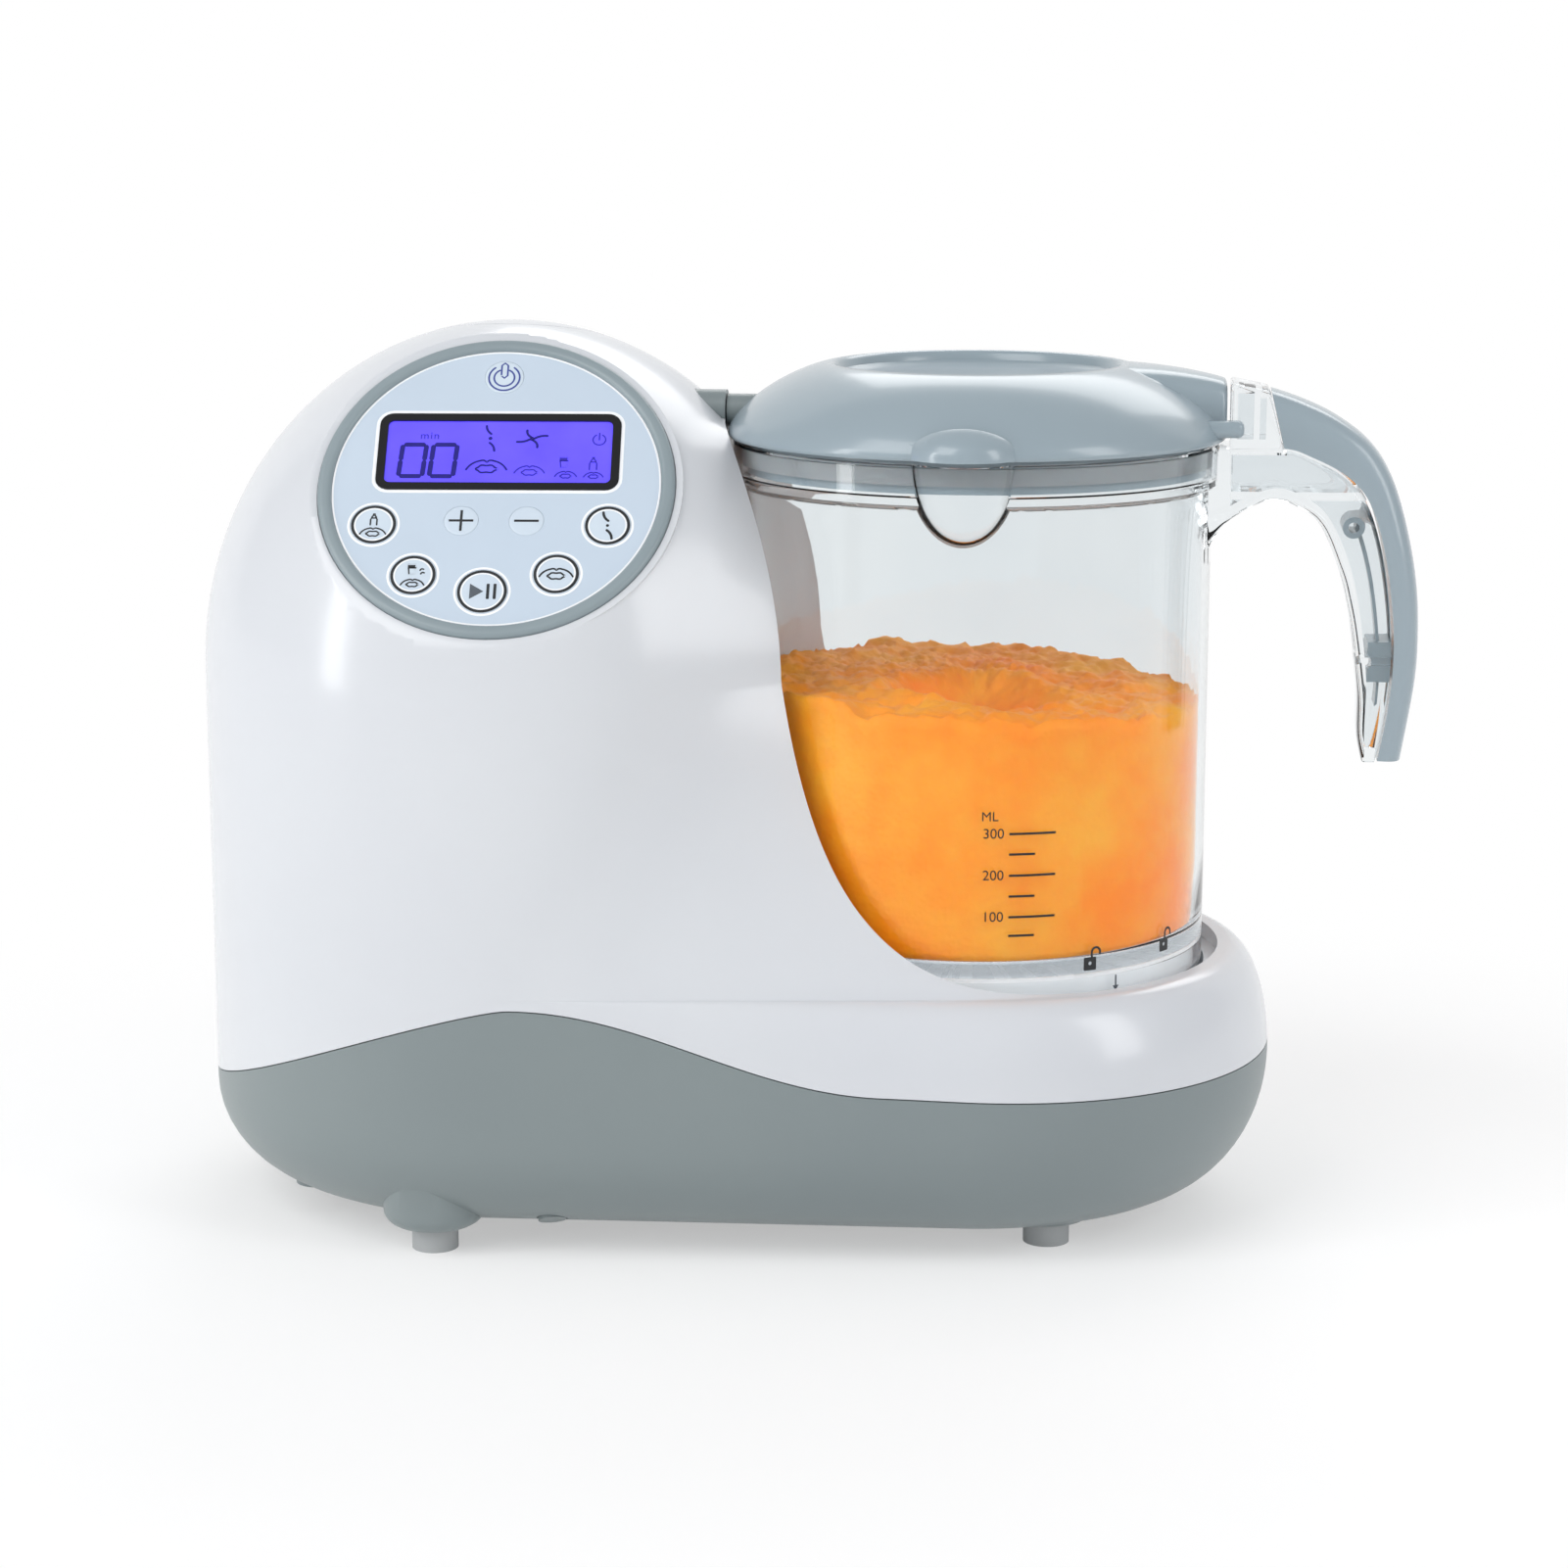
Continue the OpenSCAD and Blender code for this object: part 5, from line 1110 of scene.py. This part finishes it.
def lid_outside():
    return [(LID_R - 0.4, LID_Z), (LID_R, LID_Z + 0.5)] + [
        p for p in lid_curve(LID_R, LID_Z + 1, LID_RECESS_R, LID_TOP) if p[0] > LID_RECESS_R + 2]


def build_tongue():
    """The tongue that runs from the lid's middle over the root of the handle."""
    straight, round_end, low = 13, 3, LID_Z + 4.5
    rings = []
    for i in range(straight + round_end + 1):
        f = min(i / straight, 1)
        end = 90 * max(0, i - straight) / round_end
        x = 37 + 22.4 * f + 1.2 * sind(end)
        half = 17.5 - 7.3 * f ** 0.8 - 1.6 * (1 - cosd(end))
        high = 209.8 - 1.4 * f - 1.9 * f ** 2.4 - 1.9 * (1 - cosd(end))
        rings.append([(JX + x, half * swell(cosd(7.5 * j), 0.55), low + (high - low) * sind(7.5 * j) ** 0.5)
                      for j in range(25)])
    tongue = rings_solid("tongue", rings)
    hollow = lid_curve(LID_R - 3, LID_Z, LID_RECESS_R + 2, LID_TOP - 2.8, 14)
    hollow = lathe("cut", [(0, 150), (LID_R - 3, 150)] + hollow + [(0, LID_TOP - 2.8)], AT_JUG, 128)
    return cut(tongue, drum(LID_RECESS_R + 2.2, 150, 240, AT_JUG, 128), hollow)


def build_lid():
    top, z0, rr = LID_TOP, LID_Z, LID_RECESS_R
    brim = [(rr + 1.3, top - 0.2), (rr + 0.5, top - 0.5), (rr, top - 1.1)]
    dish = [(rr * cosd(a), top - 1.1 - (LID_RECESS_H - 1.1) * sind(a) ** 0.6) for a in range(10, 90, 8)]
    inner = [(0, top - LID_RECESS_H - 2.2), (rr + 0.5, top - LID_RECESS_H - 2.2)]
    inner += lid_curve(LID_R - 2.2, z0, rr + 2, top - 2.2, 14)[::-1]
    lid = lathe("lid", lid_outside() + brim + dish + [(0, top - LID_RECESS_H)] + inner, AT_JUG, 200)
    join(lid, build_tongue())
    r = SPOUT_R + 0.6
    cap = [(r * cosd(a), z0 + 0.8 + 8 * sind(a)) for a in range(0, 90, 6)]
    cap = lathe("cap", [(0, z0 + 0.2), (r, z0 + 0.2)] + cap + [(0, z0 + 8.8)], (JX, SPOUT_Y), 96)
    join(lid, cut(cap, drum(LID_R - 1.2, 150, 240, AT_JUG, 128)))
    return cut(lid, cross_drum(4.05, JX - LID_R - 5, JX - LID_R + 10.5, 0, NOZZLE_Z, 48))


finish_part(build_lid(), "lid_top", "lid", "lid_plastic", ["lid_shell"], 40)


def build_tab():
    """The lock bar at the front of the lid's tongue."""
    tab = block(JX + LID_R - 11, -17.5, LID_Z + 1.5, JX + LID_R + 3.8, -11.5, LID_Z + 5.5)
    rounded(tab, 1.5, 5)
    return cut(tab, lathe("cut", lid_outside() + [(0, LID_TOP), (0, LID_Z)], AT_JUG, 200))


finish(build_tab(), "lid_catch", "lid", MAT["lid_plastic"], ["lid_tab"], 40)


# ---- food
HOLE_R, HOLE_TOP = 41.3, 113.6  # the room left in the food for the steamer's middle
PIT_X, PIT_Y, PIT_W, PIT_D = 2, -16, 21, 19


def crumb(x, y, z, size, amount):
    at = Vector((x, y, z))
    return amount * (noise.noise(at / size) + 0.55 * noise.noise(at / (size * 0.42)))


def build_food():
    n, rings = ((260, 60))
    r_out, low, bend = JUG_R - JUG_WALL - 0.12, FLOOR_Z + 0.12, 3

    def top_z(r, a):
        x, y = r * math.cos(a), r * math.sin(a)
        lump = crumb(x, y, 3.0, 17, 2.2) + crumb(x, y, 40.0, 5, 1.4) + crumb(x, y, 90.0, 1.9, 0.8)
        u, v = (x - PIT_X) / PIT_W, (y - PIT_Y) / PIT_D
        pit = 12 * math.exp(-(u ** 2 + v ** 2) ** 1.6)
        rim = 3.0 * math.exp(-(((math.hypot(u, v) - 1.15) / 0.25) ** 2))
        return 131 - 0.05 * x + rim - pit + lump

    verts, faces = [], []
    for i in range(n):
        a = TAU * i / n
        edge = top_z(r_out, a)
        col = [(HOLE_R, low)] + fillet(r_out, low, bend, 30)
        col += [(r_out, low + bend + (edge - low - bend) * j / 18) for j in range(1, 18)]
        col += [(r_out * (1 - j / rings), top_z(r_out * (1 - j / rings), a)) for j in range(rings)]
        verts += [(JX + r * math.cos(a), r * math.sin(a), z) for r, z in col]
    k, top, roof = len(verts) // n, len(verts), len(verts) + 1
    verts += [(JX, 0, top_z(0, 0)), (JX, 0, HOLE_TOP)]
    verts += [(x, y, HOLE_TOP) for x, y in ring_pts(HOLE_R, n, JX)]
    for i in range(n):
        j = (i + 1) % n
        faces += [(i * k + m, j * k + m, j * k + m + 1, i * k + m + 1) for m in range(k - 1)]
        faces += [(i * k + k - 1, j * k + k - 1, top), (i * k, roof + 1 + i, roof + 1 + j, j * k),
                  (roof + 1 + i, roof, roof + 1 + j)]
    return solid("food", verts, faces)


def food_material():
    """Carrot puree: grained, with a faint painted glow, and painted shade darker down in its pit."""
    m, nt, bsdf = new_material("carrot_puree")
    coord = add(nt, "TexCoord")
    broad = add(nt, "TexNoise", Scale=28, Detail=8, Roughness=0.62)
    ramp = colour_ramp(nt, (0.36, "ff8800"), (0.68, "ffb030"))
    grains = add(nt, "TexVoronoi", Scale=620)
    lift = add(nt, "Bump", Strength=0.3, Distance=0.0005)
    span = add(nt, "MapRange", To_Min=0.35, To_Max=0.6)
    from_pit = add(nt, "VectorMath", "DISTANCE", ((JX + PIT_X) * MM, PIT_Y * MM, 0.118))
    # Painted shade: the colour darkens towards f05c02 down in the pit, where shade falls.
    deep = soft_step(nt, 0.010, 0.022, 0.75, 0.0)
    pit_shaded_tone = nt.nodes.new("ShaderNodeMix")
    pit_shaded_tone.data_type = "RGBA"
    set_inputs(pit_shaded_tone, B=rgb("f05c02"))
    wire(nt, (coord, "Object", broad, "Vector"), (coord, "Object", grains, "Vector"),
         (broad, "Fac", ramp, "Fac"), (broad, "Fac", span, "Value"), (span, "Result", bsdf, "Roughness"),
         (coord, "Object", from_pit, 0), (from_pit, "Value", deep, "Value"),
         (deep, "Result", pit_shaded_tone, "Factor"), (ramp, "Color", pit_shaded_tone, "A"),
         (pit_shaded_tone, "Result", bsdf, "Base Color"), (ramp, "Color", bsdf, "Emission Color"),
         (grains, "Distance", lift, "Height"), (lift, "Normal", bsdf, "Normal"))
    # The emission in the puree's own colour is painted light: it glows a little though it is no lamp.
    set_inputs(bsdf, Emission_Strength=0.13, Specular_IOR_Level=0.12, Subsurface_Weight=0.12,
               Subsurface_Radius=(1.0, 0.55, 0.12), Subsurface_Scale=0.002)
    return m


finish(build_food(), "puree", "jug", food_material(), (), 180)


# ---- prints on the jug's wall
WALL_INK = (0.02, 0.08)
SCALE_Z = 94
DEG = math.radians(1) * JUG_R  # a degree along the wall


def on_wall(me, turn, z, name, mat):
    """Wraps a flat mesh round the jug's wall, centred at an angle from the front towards +X."""
    for v in me.vertices:
        a = math.radians(turn) + v.co.x / (JUG_R * MM)
        d = JUG_R * MM + v.co.z
        v.co = (JX * MM + d * math.sin(a), -d * math.cos(a), z * MM + v.co.y)
    finish(place(name, me), name, "jug", mat)


def wall_print(name, groups, turn, z, mat):
    on_wall(merged(name, [flat_mesh(loops, *WALL_INK) for loops in groups]), turn, z, name, mat)


def mark(z, end):
    """A line of the scale, with points along it so that it can bend with the wall."""
    x0, x1 = DEG * -5.6, DEG * end
    n = int((x1 - x0) / 1.2)
    xs = [x0 + (x1 - x0) * i / n for i in range(n + 1)]
    return [(x, z - 0.28) for x in xs] + [(x, z + 0.28) for x in xs[::-1]]


scale = [flat_mesh([mark(z - SCALE_Z, end)], *WALL_INK)
         for z, end in ((104.5, 5.6), (99.6, 0.6), (94.5, 5.6), (89.5, 0.6), (84.5, 5.6), (80.0, 0.6))]
for text, size, at, z in (("300", 3.4, -9.3, 104.5), ("200", 3.4, -9.3, 94.5), ("100", 3.4, -9.3, 84.5),
                          ("ML", 3.2, -10.2, 108.6)):
    scale.append(letters(text, size, DEG * at, z - SCALE_Z, 0.05))
on_wall(merged("scale", scale), 17.2, SCALE_Z, "jug_scale", INK)

padlock = [[rounded_rect(-1.7, -2.6, 1.7, 0.6, 0.3), ring_pts(0.45, 12, 0, -0.9)],
           stroke([(0.45, 0.2)] + arcs(1.6, 1.7, 1.15, 180, 0, 12) + [(2.75, 1.2)], 0.55)]
wall_print("padlock_closed", padlock, 32.3, 72.8, INK)
wall_print("padlock_open", padlock, 56.6, 73.8, INK)
arrow = [stroke([(0, 1.4), (0, -1.4)], 0.45), [[(-0.9, -1.0), (0.9, -1.0), (0, -2.3)]]]
wall_print("jug_arrow", arrow, 39.8, 66.6, INK_GREY)


# ---- finishes of the nodes that stay
slots = {row["node"]: row["material_slot"] for row in frame["record"]["subparts"]}
# The collar glows faintly: painted light that lifts the shaded band between the jug's floor and the well,
# though the collar is no lamp.
GLOWING_COLLAR = material("collar_white_painted_glow", "eceef0", "e4e7ea", 30, (0.3, 0.4), 1200, 0.05,
                  Emission_Color=(0.84, 0.87, 0.9, 1), Emission_Strength=0.2)
for name, ob in frame["nodes"].items():
    paint(ob, GLOWING_COLLAR if name == "jug_collar" else MAT[slots[name]])
    for p in ob.data.polygons:
        p.material_index = 0
